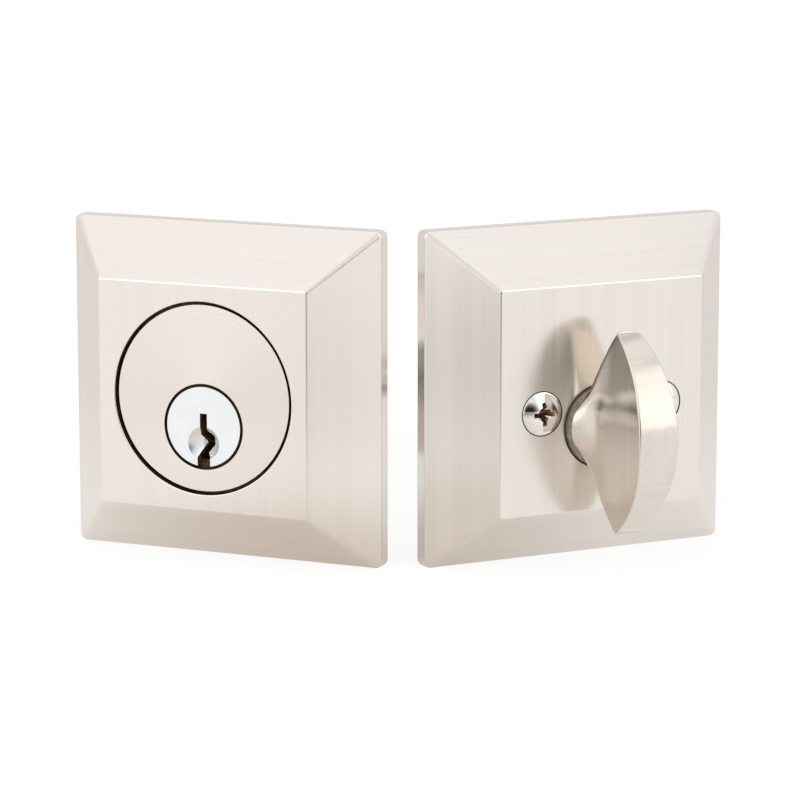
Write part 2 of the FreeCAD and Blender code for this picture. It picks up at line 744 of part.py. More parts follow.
def round_bar(radius, front, rear):
    """A cylinder on the turning axis between two distances before the door face."""
    front, rear = size(front).number, size(rear).number
    return Part.makeCylinder(size(radius).number, front - rear, Vector(0, -front, 0), Vector(0, 1, 0))


def make_thumbturn():
    """A collar and a shank that grow into a thin grip with a curved front."""
    root, front = S.turn_root.number, S.turn_front.number
    half_width, half_height = S.turn_width.number / 2, S.turn_height.number / 2
    dome = S.turn_dome.number / 2
    round_root = [Part.Arc(Vector(dome * math.cos(start), -root, dome * math.sin(start)),
                           Vector(dome * math.cos(middle), -root, dome * math.sin(middle)),
                           Vector(dome * math.cos(end), -root, dome * math.sin(end))).toShape()
                  for start, middle, end in (
                      (math.radians(a), math.radians(b), math.radians(c))
                      for a, b, c in ((60, 0, -60), (-60, -90, -120), (-120, -180, -240), (120, 90, 60)))]
    sections = [Part.Wire(round_root)] + [
        grip_section(root + (front - root) * along, half_width * middle, half_width * end,
                     half_height * height)
        for along, middle, end, height in GRIP_SECTIONS]
    radius = S.turn_radius.number
    curved_front = Part.makeCylinder(radius, radius * 2, Vector(-radius, radius - front, 0), Vector(1, 0, 0))
    grip = Part.makeLoft(sections, True, False).common(curved_front)

    shank = S.turn_shank / 2
    solid = grip.fuse([
        round_bar(S.turn_collar / 2, S.turn_root, inner_front + S.end_gap * 2),
        round_bar(shank, S.turn_root, ring_front - S.ring_thick * 2),
    ])
    groove = round_bar(shank, ring_front, ring_front - S.ring_thick).cut(
        round_bar(shank - S.ring_thick, ring_front, ring_front - S.ring_thick))
    socket = round_bar(S.socket_diameter / 2, inner_front, 0)
    thumbturn = doc.addObject("Part::Feature", "thumbturn")
    thumbturn.Label = "thumbturn"
    thumbturn.Shape = solid.cut(groove).cut(socket).removeSplitter()
    PARTS.append(thumbturn)
    place(thumbturn, INSIDE, z=axis_height)


def make_turn_hardware():
    """Bushing, wave washer, retaining ring and drive socket behind the thumbturn."""
    bush = new_body("turn_bushing")
    bore = S.turn_shank / 2 + S.running_gap
    outer = S.bush_diameter / 2
    turned(bush, forward(((bore, inner_front), (outer, inner_front),
                          (outer, bush_back), (bore, bush_back))))
    place(bush, INSIDE, z=axis_height)

    washer = new_body("wave_washer")
    thin = S.washer_thick / 3
    rim = S.ring_diameter / 2 + S.washer_thick
    middle = (bore + rim) / 2
    turned(washer, forward(((bore, bush_back), (bore + thin, bush_back), (middle, bush_back - thin * 2),
                            (rim - thin, bush_back), (rim, bush_back), (rim, bush_back - thin),
                            (middle, washer_back), (bore, bush_back - thin))))
    place(washer, INSIDE, z=axis_height)

    ring = new_body("retaining_ring")
    inner = S.turn_shank / 2 - S.ring_thick
    outer = S.ring_diameter / 2
    ring_back = ring_front - S.ring_thick
    turned(ring, forward(((inner, ring_front), (outer, ring_front),
                          (outer, ring_back), (inner, ring_back))))
    gap = new_sketch(ring, "XZ_Plane", ring_back, (0, -outer))
    mouth = inner * 1.4
    draw_rounded(gap, mouth, outer * 2, S.end_gap)
    pocket(ring, gap, S.ring_thick)
    place(ring, INSIDE, z=axis_height)

    socket = new_body("drive_socket")
    outer = S.socket_diameter / 2
    back = -S.backplate_thick
    turned(socket, forward(((0, inner_front), (outer, inner_front), (outer, back), (0, back))))
    slot = new_sketch(socket, "XZ_Plane", back)
    draw_rounded(slot, S.tail_thick + S.slot_play * 2, S.tail_width + S.slot_play * 2, S.end_gap * 3)
    pocket(socket, slot, S.rose_depth)
    place(socket, INSIDE, z=axis_height)


def oval_screw(body, at, front, length, shank, head, cone, dome):
    """A cross-recessed oval-head screw whose countersunk rim lies at the front distance."""
    x, z = at
    rise = size(dome)
    crown = head * 0.62
    sketch = new_sketch(body, "XZ_Plane", size(front) - cone, (x, z))
    draw_circle(sketch, shank)
    pad(body, sketch, size(length) - cone, backward=True)
    for kind, offset, low, high, height in (
            ("PartDesign::AdditiveCone", size(front) - cone, shank, head, cone),
            ("PartDesign::AdditiveCone", size(front), head, crown, rise)):
        solid = body.newObject(kind, body.Name + "_head")
        attach(solid, body, "XZ_Plane", offset, at)
        bind(solid, "Radius1", low)
        bind(solid, "Radius2", high)
        bind(solid, "Height", height)
        doc.recompute()


def cross_recess(body, spots, top):
    """A cross recess in each head, cut down from the top of the head."""
    for turn in (0, 90):
        recess = new_sketch(body, "XZ_Plane", top)
        half_long = S.cross_length / 2
        half_wide = S.cross_width / 2
        for x, z in spots:
            wide, tall = (half_long, half_wide) if turn else (half_wide, half_long)
            draw_polygon(recess, ((size(x) - wide, size(z) - tall), (size(x) + wide, size(z) - tall),
                                  (size(x) + wide, size(z) + tall), (size(x) - wide, size(z) + tall)))
        pocket(body, recess, S.cross_depth, along=False)


def make_through_screws():
    """The two long screws that draw the halves together through the door."""
    frames = []
    for side in (-1, 1):
        body = doc.addObject("PartDesign::Body", f"through_screw_{side + 1}")
        oval_screw(body, (0, 0), S.rose_depth, S.rose_depth + S.screw_reach, S.screw_shank / 2,
                   S.screw_head / 2 - S.running_gap, S.screw_cone, S.screw_dome)
        cross_recess(body, ((0, 0),), S.rose_depth + S.screw_dome)
        place(body, INSIDE, x=screw_half * side, z=axis_height + S.screw_rise)
        frames.append(body)
    group("through_screws", frames)


def group(label, bodies):
    """Identical fasteners share one node as separate solids."""
    doc.recompute()
    bundle = doc.addObject("Part::Compound", label)
    bundle.Label = label
    bundle.Links = bodies
    PARTS.append(bundle)


# ---------------------------------------------------------------- latch

def make_latch_fronts():
    """The visible front of the latch and the steel plate behind it."""
    plates = (("latch_front", plate_rear, S.front_thick), ("latch_backing", backing_rear, S.backing_thick))
    for label, rear, thick in plates:
        body = new_body(label)
        outline = new_sketch(body, "YZ_Plane", rear)
        draw_rounded(outline, S.front_width, S.front_height, S.front_corner)
        pad(body, outline, thick)
        opening = new_sketch(body, "YZ_Plane", rear)
        draw_flatted(opening, tube_inner, bolt_flat + S.bolt_gap)
        pocket(body, opening, thick)
        holes = new_sketch(body, "YZ_Plane", rear)
        for side in (-1, 1):
            draw_circle(holes, S.screw_shank / 2 + S.screw_play, (0, S.front_screw_spacing / 2 * side))
        pocket(body, holes, thick)
        place(body, LATCH)
        if label == "latch_front":
            for side in (-1, 1):
                cone_cut(body, "YZ_Plane", S.backset, (0, S.front_screw_spacing / 2 * side),
                         S.screw_head / 2, S.screw_shank / 2, S.screw_cone)


def make_tube():
    body = new_body("latch_tube")
    turned(body, ((S.case_front, 0), (S.case_front, tube_outer), (backing_rear, tube_outer),
                  (backing_rear, tube_inner), (tube_floor, tube_inner), (tube_floor, 0)), axis="H_Axis")
    slot = new_sketch(body, "YZ_Plane", S.case_front)
    draw_polygon(slot, tail_slot())
    pocket(body, slot, S.tube_wall * 2)
    place(body, LATCH)


def tail_slot():
    """Where the bar of the bolt tail passes the floor of the tube."""
    play = S.bolt_gap * 4
    near = S.bar_offset - play
    far = S.bar_offset + S.bar_thick + play
    low = S.bar_level - S.axis_drop - play
    high = bar_top() - S.axis_drop + play
    return (near, low), (far, low), (far, high), (near, high)


def make_bolt():
    """The bolt, the hardened rod inside it, and the tail that the cam drives."""
    bolt = new_body("dead_bolt")
    outline = new_sketch(bolt, "YZ_Plane", bolt_rear)
    draw_flatted(outline, S.bolt_radius, bolt_flat)
    pad(bolt, outline, bolt_length)
    rod_bore = new_sketch(bolt, "YZ_Plane", bolt_rear)
    draw_circle(rod_bore, S.rod_diameter / 2 + S.bolt_gap)
    rod_end = bolt_length - S.rod_diameter
    pocket(bolt, rod_bore, rod_end)
    foot = new_sketch(bolt, "YZ_Plane", bolt_rear)
    draw_polygon(foot, foot_section())
    pocket(bolt, foot, S.rod_diameter)

    def front_edge(edge):
        return edge.BoundBox.XMin > S.backset.number - SAME

    soften(bolt, S.bar_offset / 2, front_edge)
    place(bolt, LATCH)

    rod = new_body("saw_guard_rod")
    near = bolt_rear + S.bolt_gap * 3
    far = bolt_rear + rod_end - S.bolt_gap * 2
    turned(rod, ((near, 0), (far, 0), (far, S.rod_diameter / 2), (near, S.rod_diameter / 2)), axis="H_Axis")
    place(rod, LATCH)

    tail = new_body("bolt_tail")
    plate = new_sketch(tail, "XZ_Plane", -S.bar_offset)
    boss = S.tail_pin_diameter
    boss_top = S.pin_line + boss * 0.65
    draw_polygon(plate, (
        (bolt_rear + S.rod_diameter, S.bar_level), (bolt_rear + S.rod_diameter, foot_top()),
        (bolt_rear, foot_top()), (bolt_rear, bar_top()), (boss - S.pin_line, bar_top()),
        (boss - S.pin_line, boss_top), (-S.pin_line - boss, boss_top),
        (-S.pin_line - boss, S.bar_level)))
    pad(tail, plate, S.bar_thick, backward=True)
    hole = new_sketch(tail, "XZ_Plane", -S.bar_offset)
    draw_circle(hole, S.tail_pin_diameter / 2, (-S.pin_line, S.pin_line))
    pocket(tail, hole, S.bar_thick, along=False)
    place(tail, LATCH, z=-S.axis_drop)

    pin = new_body("tail_pin")
    section = new_sketch(pin, "XZ_Plane", -S.bar_offset - S.bar_thick)
    draw_circle(section, S.tail_pin_diameter / 2, (-S.pin_line, S.pin_line))
    pad(pin, section, S.bar_thick + S.bar_offset + S.fork_thick / 2)
    place(pin, LATCH, z=-S.axis_drop)


def bar_top():
    return S.bar_level + S.bar_height


def foot_top():
    return bar_top() + S.bar_height


def foot_section():
    """The slot in the bolt that holds the foot of the tail."""
    near = S.bar_offset
    far = S.bar_offset + S.bar_thick
    low = S.bar_level - S.axis_drop
    high = foot_top() - S.axis_drop
    return (near, low), (far, low), (far, high), (near, high)


def make_cam():
    """The latch cam: a hub on two journals, with a fork that drives the tail pin."""
    body = new_body("latch_cam")
    inside = case_half - S.tube_wall - S.bolt_gap * 4
    hub, journal = S.hub_radius, S.journal_radius
    turned(body, ((0, -case_half), (journal, -case_half), (journal, -inside), (hub, -inside),
                  (hub, inside), (journal, inside), (journal, case_half), (0, case_half)))
    fork = new_sketch(body, "XZ_Plane", -S.fork_thick / 2)
    edge = fork_slot + S.fork_tine
    draw_polygon(fork, ((-edge, 0), (edge, 0), (edge, S.fork_reach), (fork_slot, S.fork_reach),
                        (fork_slot, fork_bottom), (-fork_slot, fork_bottom),
                        (-fork_slot, S.fork_reach), (-edge, S.fork_reach)))
    pad(body, fork, S.fork_thick)
    slot = new_sketch(body, "XZ_Plane")
    draw_rounded(slot, S.tail_thick + S.slot_play * 2, S.tail_width + S.slot_play * 2, S.end_gap * 3)
    pocket(body, slot)
    place(body, LATCH, z=-S.axis_drop, rotation=Rotation(Vector(0, 1, 0), -45))


def make_case():
    """Two pressed half shells, riveted together round the cam and open above it."""
    rear, front, base, crown = -S.case_rear, S.case_front, -S.case_base, S.case_crown
    wall, corner = S.tube_wall, S.case_corner
    window_low, window_high = S.bar_level - wall, bar_top() + wall
    for label, upper in (("latch_case_upper", True), ("latch_case_lower", False)):
        body = new_body(label)
        outline = new_sketch(body, "XZ_Plane")
        draw_polygon(outline, ((rear + corner, base), (front, base), (front, crown),
                               (rear + corner, crown), (rear, crown - corner), (rear, base + corner)))
        pad(body, outline, case_half, backward=upper)
        cavity = new_sketch(body, "XZ_Plane")
        draw_polygon(cavity, ((rear + corner, base + wall), (front - wall, base + wall),
                              (front - wall, window_low), (front + wall, window_low),
                              (front + wall, window_high), (front - wall, window_high),
                              (front - wall, crown + wall), (rear + corner, crown + wall),
                              (rear + wall, crown - corner), (rear + wall, base + corner)))
        pocket(body, cavity, case_half - wall, along=not upper)
        bore = new_sketch(body, "XZ_Plane")
        draw_circle(bore, S.journal_radius + S.running_gap)
        for side in (-1, 1):
            draw_circle(bore, S.rivet_diameter / 2, (S.rivet_spread * side, -S.rivet_drop))
        pocket(body, bore, case_half, along=not upper)
        place(body, LATCH, z=-S.axis_drop)

    rivets = []
    for side in (-1, 1):
        rivet = doc.addObject("PartDesign::Body", f"case_rivet_{side + 1}")
        shank, head = S.rivet_diameter / 2, S.rivet_diameter * 0.9
        crown = head * 0.7
        end = case_half + S.rivet_diameter / 4
        turned(rivet, ((0, -end), (crown, -end), (head, -case_half), (shank, -case_half),
                       (shank, case_half), (head, case_half), (crown, end), (0, end)))
        place(rivet, LATCH, x=S.rivet_spread * side, z=-S.axis_drop - S.rivet_drop)
        rivets.append(rivet)
    group("case_rivets", rivets)


def wood_screw(name, length):
    """A countersunk wood screw along -X, its flat head at X = 0."""
    body = doc.addObject("PartDesign::Body", name)
    shank, head = S.screw_shank / 2, S.screw_head / 2 - S.running_gap
    taper = length * 0.75
    turned(body, ((0, 0), (0, head), (-S.screw_cone, shank), (-taper, shank), (-length, 0)),
           axis="H_Axis")
    for wide, tall in ((S.cross_length, S.cross_width), (S.cross_width, S.cross_length)):
        recess = new_sketch(body, "YZ_Plane")
        draw_rounded(recess, wide, tall, S.end_gap)
        pocket(body, recess, S.cross_depth, along=False)
    return body


def make_wood_screws():
    screws = []
    for side in (-1, 1):
        screw = wood_screw(f"front_screw_{side + 1}", S.wood_screw_length)
        place(screw, LATCH, x=S.backset, z=S.front_screw_spacing / 2 * side)
        screws.append(screw)
    group("latch_screws", screws)
    screws = []
    for side in (-1, 1):
        screw = wood_screw(f"strike_screw_{side + 1}", S.wood_screw_length)
        place(screw, STRIKE, y=S.strike_screw_spacing / 2 * side, z=strike_top,
              rotation=Rotation(Vector(0, 1, 0), -90))
        screws.append(screw)
    group("strike_screws", screws)


# ---------------------------------------------------------------- strike

def make_strike():
    """The strike plate on top of its dust box, with the bolt opening upwards."""
    plate = new_body("strike_plate")
    outline = new_sketch(plate, "XY_Plane", S.box_depth)
    draw_rounded(outline, S.strike_width, S.strike_length, S.front_corner)
    pad(plate, outline, S.strike_thick)
    opening = new_sketch(plate, "XY_Plane", S.box_depth)
    draw_rounded(opening, S.strike_hole_width, S.strike_hole_length, S.box_wall)
    pocket(plate, opening, S.strike_thick)
    holes = new_sketch(plate, "XY_Plane", S.box_depth)
    for side in (-1, 1):
        draw_circle(holes, S.screw_shank / 2 + S.screw_play, (0, S.strike_screw_spacing / 2 * side))
    pocket(plate, holes, S.strike_thick)
    for side in (-1, 1):
        cone_cut(plate, "XY_Plane", strike_top, (0, S.strike_screw_spacing / 2 * side),
                 S.screw_head / 2, S.screw_shank / 2, S.screw_cone)
    place(plate, STRIKE)

    box = new_body("dust_box")
    walls = new_sketch(box, "XY_Plane")
    draw_rounded(walls, box_half_width * 2, box_half_length * 2, S.box_wall * 2)
    pad(box, walls, S.box_depth)
    rim = new_sketch(box, "XY_Plane", S.box_depth - S.box_wall)
    draw_rounded(rim, (box_half_width + S.box_flange) * 2, (box_half_length + S.box_flange) * 2,
                 S.box_wall * 2)
    pad(box, rim, S.box_wall)
    cavity = new_sketch(box, "XY_Plane", S.box_wall)
    draw_rounded(cavity, (box_half_width - S.box_wall) * 2, (box_half_length - S.box_wall) * 2,
                 S.box_wall)
    pocket(box, cavity, S.box_depth)
    place(box, STRIKE)


# ---------------------------------------------------------------- build and check

make_outside_rose()
make_inside_rose()
make_backplates()
make_housing()
make_chamber_cap()
make_plug()
make_pins()
make_tailpiece()
make_thumbturn()
make_turn_hardware()
make_through_screws()
make_latch_fronts()
make_tube()
make_bolt()
make_cam()
make_case()
make_wood_screws()
make_strike()
doc.recompute()

for thing in doc.Objects:
    if "Invalid" in thing.State or "Error" in thing.State:
        raise RuntimeError(f"{thing.Name} did not build: {thing.State}")
for part in PARTS:
    if part.Shape.isNull() or not part.Shape.isValid():
        raise RuntimeError(f"{part.Label} has no valid shape")

os.makedirs("parts", exist_ok=True)
for part in PARTS:
    part.Shape.exportStep(f"parts/{part.Label}.step")
    box = part.Shape.BoundBox
    print(f"{part.Label:20s} solids {len(part.Shape.Solids)}  volume {part.Shape.Volume:9.1f}"
          f"  x {box.XMin:7.2f} {box.XMax:7.2f}  y {box.YMin:7.2f} {box.YMax:7.2f}"
          f"  z {box.ZMin:7.2f} {box.ZMax:7.2f}")
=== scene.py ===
"""Looks of the square deadbolt set: studio, camera, finishes and modelled pieces."""
import json
import math

import bmesh
import bpy
from mathutils import Matrix, Vector


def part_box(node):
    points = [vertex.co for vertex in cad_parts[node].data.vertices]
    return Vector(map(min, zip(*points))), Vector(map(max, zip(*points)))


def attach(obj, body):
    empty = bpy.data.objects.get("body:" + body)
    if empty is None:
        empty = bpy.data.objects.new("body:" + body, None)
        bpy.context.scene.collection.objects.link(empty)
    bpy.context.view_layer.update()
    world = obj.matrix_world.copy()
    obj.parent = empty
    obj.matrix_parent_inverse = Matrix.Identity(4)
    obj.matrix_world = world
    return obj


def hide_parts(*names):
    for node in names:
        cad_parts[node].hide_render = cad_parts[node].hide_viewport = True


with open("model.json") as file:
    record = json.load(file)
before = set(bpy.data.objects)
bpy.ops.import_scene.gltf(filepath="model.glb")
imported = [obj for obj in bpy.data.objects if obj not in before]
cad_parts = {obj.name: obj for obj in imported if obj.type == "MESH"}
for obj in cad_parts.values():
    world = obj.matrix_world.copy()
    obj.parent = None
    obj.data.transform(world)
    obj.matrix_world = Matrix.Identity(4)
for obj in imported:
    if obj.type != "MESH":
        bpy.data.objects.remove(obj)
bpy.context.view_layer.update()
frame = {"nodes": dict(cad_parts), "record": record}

# ------------------------------------------------------------------ camera
# A long lens a little above the middle of the roses, so that both halves show
# their flat fronts and the bevels round them.

look_at = Vector((0.0002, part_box("exterior_rose")[1].y - 0.0032, 0.0271))
camera_distance = 0.700
camera_azimuth = math.radians(-1.62)
camera_height = math.radians(10.67)
away = Vector((math.sin(camera_azimuth) * math.cos(camera_height),
               -math.cos(camera_azimuth) * math.cos(camera_height),
               math.sin(camera_height)))

camera = bpy.data.objects.new("camera", bpy.data.cameras.new("camera"))
bpy.context.scene.collection.objects.link(camera)
camera.data.lens = 163.7
camera.data.sensor_width = 36.0
camera.data.clip_start = 0.01
camera.location = look_at + away * camera_distance
camera.rotation_euler = (-away).to_track_quat("-Z", "Y").to_euler()
bpy.context.scene.camera = camera
bpy.context.scene.view_settings.view_transform = "Standard"


# ------------------------------------------------------------------ studio
# A white table in a white tent. The tent is open where the camera stands, which
# polished metal shows as a dark patch.

def linear(hex_colour):
    """An sRGB hex colour as the linear values that Blender mixes in."""
    parts = [int(hex_colour[place:place + 2], 16) / 255 for place in (1, 3, 5)]
    curve = [part / 12.92 if part <= 0.04045 else ((part + 0.055) / 1.055) ** 2.4 for part in parts]
    return (*curve, 1.0)


def add_node(tree, kind, settings=None, feeds=None, **links):
    """Add a node with its settings, plain inputs and (position, hex colour) stops, and link it.

    The kind is the node's type without its first word. A link is named after its input, or
    after the input's number, as in i0. Where the node feeds an input of the shader, that
    input is named too.
    """
    node = tree.nodes.new("ShaderNode" + kind)
    for name, value in (settings or {}).items():
        if name == "stops":
            marks = node.color_ramp.elements
            while len(marks) < len(value):
                marks.new(1.0)
            for mark, (position, colour) in zip(marks, value):
                mark.position = position
                mark.color = linear(colour)
        elif isinstance(name, str) and hasattr(node, name):
            setattr(node, name, value)
        else:
            node.inputs[name].default_value = value
    for name, source in links.items():
        socket = int(name[1:]) if name[0] == "i" and name[1:].isdigit() else name.replace("_", " ")
        tree.links.new(source, node.inputs[socket])
    if feeds:
        tree.links.new(node.outputs[0], tree.nodes["Principled BSDF"].inputs[feeds])
    return node


open_bearing = math.radians(8)
open_side = Vector((math.sin(open_bearing), -math.cos(open_bearing), 0.0))

# The tent gives the metal a white surround, a little greyer overhead and behind, with a
# dark gap on its open side.
world = bpy.data.worlds.new("white_tent")
bpy.context.scene.world = world
world.use_nodes = True
tree = world.node_tree
tree.nodes.clear()
direction = add_node(tree, "TexCoord").outputs["Generated"]
height = add_node(tree, "SeparateXYZ", i0=direction).outputs["Z"]
tent = add_node(tree, "ValToRGB",
                {"stops": ((0.0, "#FFFFFF"), (0.45, "#FEFDFC"), (1.0, "#E9E9EA"))}, i0=height)
towards = add_node(tree, "VectorMath", {"operation": "DOT_PRODUCT", 1: open_side}, i0=direction)
bearing = add_node(tree, "MapRange", {"From Min": -1.0}, i0=towards.outputs["Value"])
opening = add_node(tree, "ValToRGB",
                   {"stops": ((0.10, "#EDEAE7"), (0.45, "#FFFFFF"), (0.94, "#FFFFFF"),
                              (0.972, "#8C8680"), (0.990, "#2A2725"))}, i0=bearing.outputs[0])
multiply = {"data_type": "RGBA", "blend_type": "MULTIPLY", 0: 1.0}
tent = add_node(tree, "Mix", multiply, i6=tent.outputs[0], i7=opening.outputs[0]).outputs[2]
seen = add_node(tree, "LightPath")
tent_light = add_node(tree, "Background", {"Strength": 0.95}, Color=tent)
plain_white = add_node(tree, "Background", {"Color": (1, 1, 1, 1), "Strength": 1.0})
both = add_node(tree, "MixShader", i0=seen.outputs["Is Camera Ray"],
                i1=tent_light.outputs[0], i2=plain_white.outputs[0])
add_node(tree, "OutputWorld", Surface=both.outputs[0])

bpy.ops.object.select_all(action="DESELECT")
bpy.ops.mesh.primitive_plane_add(size=6.0, location=(0, 0, 0))
table = bpy.context.object
table.name = "table"
# A plain white to the eye, with a soft contact shadow. In the metal's reflections it glows with a
# painted reflection: white, greyer behind, with painted dark patches near the set and a painted dark lane
# towards the open side.
table_finish = bpy.data.materials.new("white_table")
table_finish.use_nodes = True
tree = table_finish.node_tree
tree.nodes.clear()
matt = add_node(tree, "BsdfDiffuse", {"Color": linear("#F8F7F6")})
glow = add_node(tree, "Emission", {"Color": (1, 1, 1, 1), "Strength": 1.04})
spot = add_node(tree, "TexCoord").outputs["Object"]
behind = add_node(tree, "SeparateXYZ", i0=spot).outputs["Y"]
behind = add_node(tree, "MapRange", {"From Min": -0.05, "From Max": 0.10}, i0=behind)
painted_reflection = add_node(tree, "ValToRGB", {"stops": ((0.0, "#FFFFFF"), (1.0, "#E2DDD8"))},
                 i0=behind.outputs[0]).outputs[0]
# Painted shade: two dark patches in the table's glow for glossy rays, a deep one far in front of the set
# and a faint one close in front of it.
for middle, inner, outer, shade in (((-0.02, -0.34, 0), 0.05, 0.235, "#3A3632"),
                                    ((-0.02, -0.08, 0), 0.03, 0.075, "#D6CCC0")):
    away_from_it = add_node(tree, "VectorMath", {"operation": "DISTANCE", 1: middle}, i0=spot)
    patch = add_node(tree, "MapRange", {"From Min": inner, "From Max": outer},
                     i0=away_from_it.outputs["Value"])
    patch = add_node(tree, "ValToRGB", {"stops": ((0.0, shade), (1.0, "#FFFFFF"))}, i0=patch.outputs[0])
    painted_reflection = add_node(tree, "Mix", multiply, i6=painted_reflection, i7=patch.outputs[0]).outputs[2]
# Painted shade: a dark lane in the table's glow for glossy rays, towards the open side, from 0.16 m out.
bearing = add_node(tree, "VectorMath", {"operation": "NORMALIZE"}, i0=spot)
towards = add_node(tree, "VectorMath", {"operation": "DOT_PRODUCT", 1: open_side},
                   i0=bearing.outputs[0])
far = add_node(tree, "VectorMath", {"operation": "LENGTH"}, i0=spot)
far = add_node(tree, "MapRange", {"From Min": 0.16, "From Max": 0.45}, i0=far.outputs["Value"])
lane = add_node(tree, "MapRange", {"From Min": 0.925, "From Max": 0.985}, i0=towards.outputs["Value"])
lane = add_node(tree, "Math", {"operation": "MULTIPLY"}, i0=lane.outputs[0], i1=far.outputs[0])
lane = add_node(tree, "ValToRGB", {"stops": ((0.0, "#FFFFFF"), (1.0, "#2A2725"))}, i0=lane.outputs[0])
painted_reflection = add_node(tree, "Mix", multiply, i6=painted_reflection, i7=lane.outputs[0]).outputs[2]
# Painted reflection: for glossy rays the table glows in this colour, so the metal shows the painted patches
# and lane.
mirror_glow = add_node(tree, "Emission", {"Strength": 1.0}, Color=painted_reflection)
path = add_node(tree, "LightPath")
white_seen = add_node(tree, "MixShader", {0: 0.85}, i1=matt.outputs[0], i2=glow.outputs[0])
gloss_seen = add_node(tree, "MixShader", {0: 0.60}, i1=matt.outputs[0], i2=mirror_glow.outputs[0])
for_gloss = add_node(tree, "MixShader", i0=path.outputs["Is Glossy Ray"],
                     i1=matt.outputs[0], i2=gloss_seen.outputs[0])
table_mix = add_node(tree, "MixShader", i0=path.outputs["Is Camera Ray"],
                     i1=for_gloss.outputs[0], i2=white_seen.outputs[0])
add_node(tree, "OutputMaterial", Surface=table_mix.outputs[0])
table.data.materials.append(table_finish)


def soft_box(name, at, size, power):
    light = bpy.data.lights.new(name, "AREA")
    light.shape = "RECTANGLE"
    light.size, light.size_y = size
    light.energy = power
    lamp = bpy.data.objects.new(name, light)
    lamp.location = at
    lamp.rotation_euler = (Vector(at) - look_at).to_track_quat("Z", "Y").to_euler()
    bpy.context.scene.collection.objects.link(lamp)


soft_box("overhead", (0, -0.1, 0.9), (1.2, 1.0), 0.9)
soft_box("left_side", (-1.1, -0.6, 0.7), (1.5, 1.3), 3.0)
soft_box("right_side", (1.1, -0.6, 0.7), (1.5, 1.3), 3.0)


# ------------------------------------------------------------------ roses
# The two square roses: pressed and bevelled brass shells, plated with satin nickel and
# brushed by hand, along the length of each bevel and down the flat front.

record = frame["record"]
joints = {joint["name"]: joint for joint in record["behaviour"]["joints"]}
rose_low, rose_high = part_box("exterior_rose")
rose_width = rose_high.z - rose_low.z
rose_depth = 0.0136
rose_side = 0.003
rose_face = 0.0428
rose_wall = 0.0018
rose_corner = 0.0013
face_corner = 0.0006
turning_height = joints["thumbturn_turn"]["pos_m"][2]
screw_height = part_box("through_screws")[0].z / 2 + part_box("through_screws")[1].z / 2
screw_half = 0.0127
# Every cutter starts this far before the door, and a long one goes this far.
ahead = 0.02
through = 0.05


def half_place(joint, before_door):
    """The place of one half: X across it, its front towards -Y, the floor at Z = 0."""
    backwards = Vector(joint["axis"])
    door = Vector(joint["pos_m"]) + backwards * before_door
    across = backwards.cross(Vector((0, 0, 1)))
    place = Matrix((across, backwards, (0, 0, 1))).transposed().to_4x4()
    place.translation = (door.x, door.y, 0)
    return place


outside_half = half_place(joints["plug_turn"], rose_depth - 0.0005)
inside_half = half_place(joints["thumbturn_turn"], rose_depth)


def choose(piece, kind, wanted):
    """Go into edit mode with only the wanted vertices, edges or faces selected."""
    bpy.ops.object.select_all(action="DESELECT")
    piece.select_set(True)
    bpy.context.view_layer.objects.active = piece
    bpy.ops.object.mode_set(mode="EDIT")
    bpy.ops.mesh.select_mode(type=kind)
    bpy.ops.mesh.select_all(action="DESELECT")
    mesh = bmesh.from_edit_mesh(piece.data)
    for thing in {"VERT": mesh.verts, "EDGE": mesh.edges, "FACE": mesh.faces}[kind]:
        if wanted(thing):
            thing.select_set(True)
    mesh.select_flush_mode()
    bmesh.update_edit_mesh(piece.data)


def leave():
    bpy.ops.object.mode_set(mode="OBJECT")


def face_outwards():
    """Turn every face of the edited piece outwards and leave it."""
    bpy.ops.mesh.select_all(action="SELECT")
    bpy.ops.mesh.normals_make_consistent(inside=False)
    leave()


def new_piece(vertices, edges, faces):
    mesh = bpy.data.meshes.new("piece")
    mesh.from_pydata(vertices, edges, faces)
    piece = bpy.data.objects.new("piece", mesh)
    bpy.context.scene.collection.objects.link(piece)
    return piece


def added(add, **settings):
    """Add a primitive and put its place, turn and scale into its mesh."""
    bpy.ops.object.select_all(action="DESELECT")
    add(**settings)
    bpy.ops.object.transform_apply(location=True, rotation=True, scale=True)
    return bpy.context.object


facing_front = (math.radians(90), 0, 0)


def joined(first, *others):
    bpy.ops.object.select_all(action="DESELECT")
    for piece in (first, *others):
        piece.select_set(True)
    bpy.context.view_layer.objects.active = first
    bpy.ops.object.join()
    return first


def modify(piece, kind, **settings):
    """Add a modifier and apply it."""
    bpy.ops.object.select_all(action="DESELECT")
    piece.select_set(True)
    bpy.context.view_layer.objects.active = piece
    modifier = piece.modifiers.new(kind.lower(), kind)
    for name, value in settings.items():
        setattr(modifier, name, value)
    bpy.ops.object.modifier_apply(modifier=modifier.name)


def cut(piece, *cutters, operation="DIFFERENCE"):
    """Cut the piece with the cutters, or weld them to it, and remove them."""
    for cutter in cutters:
        modify(piece, "BOOLEAN", object=cutter, operation=operation, solver="EXACT")
        bpy.data.objects.remove(cutter)


def ease(piece, width, segments, angle, clamp=True):
    """Bevel the edges where the surface turns by more than the angle."""
    modify(piece, "BEVEL", width=width, segments=segments, limit_method="ANGLE",
           angle_limit=math.radians(angle), use_clamp_overlap=clamp)


def smooth(piece, angle=35, weighted=True):
    """Smooth shading with sharp edges where the surface turns by more than the angle."""
    bpy.ops.object.select_all(action="DESELECT")
    piece.select_set(True)
    bpy.context.view_layer.objects.active = piece
    bpy.ops.object.shade_smooth_by_angle(angle=math.radians(angle))
    if weighted:
        modify(piece, "WEIGHTED_NORMAL", keep_sharp=True, mode="FACE_AREA", weight=50)


def settle(piece, name, place, body, slot, *nodes):
    """Put a finished piece in its place in the set, in its mesh, and hand it over."""
    piece.name = name
    piece.data.transform(place)
    piece.data.update()
    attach(piece, body)
    if nodes:
        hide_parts(*nodes)


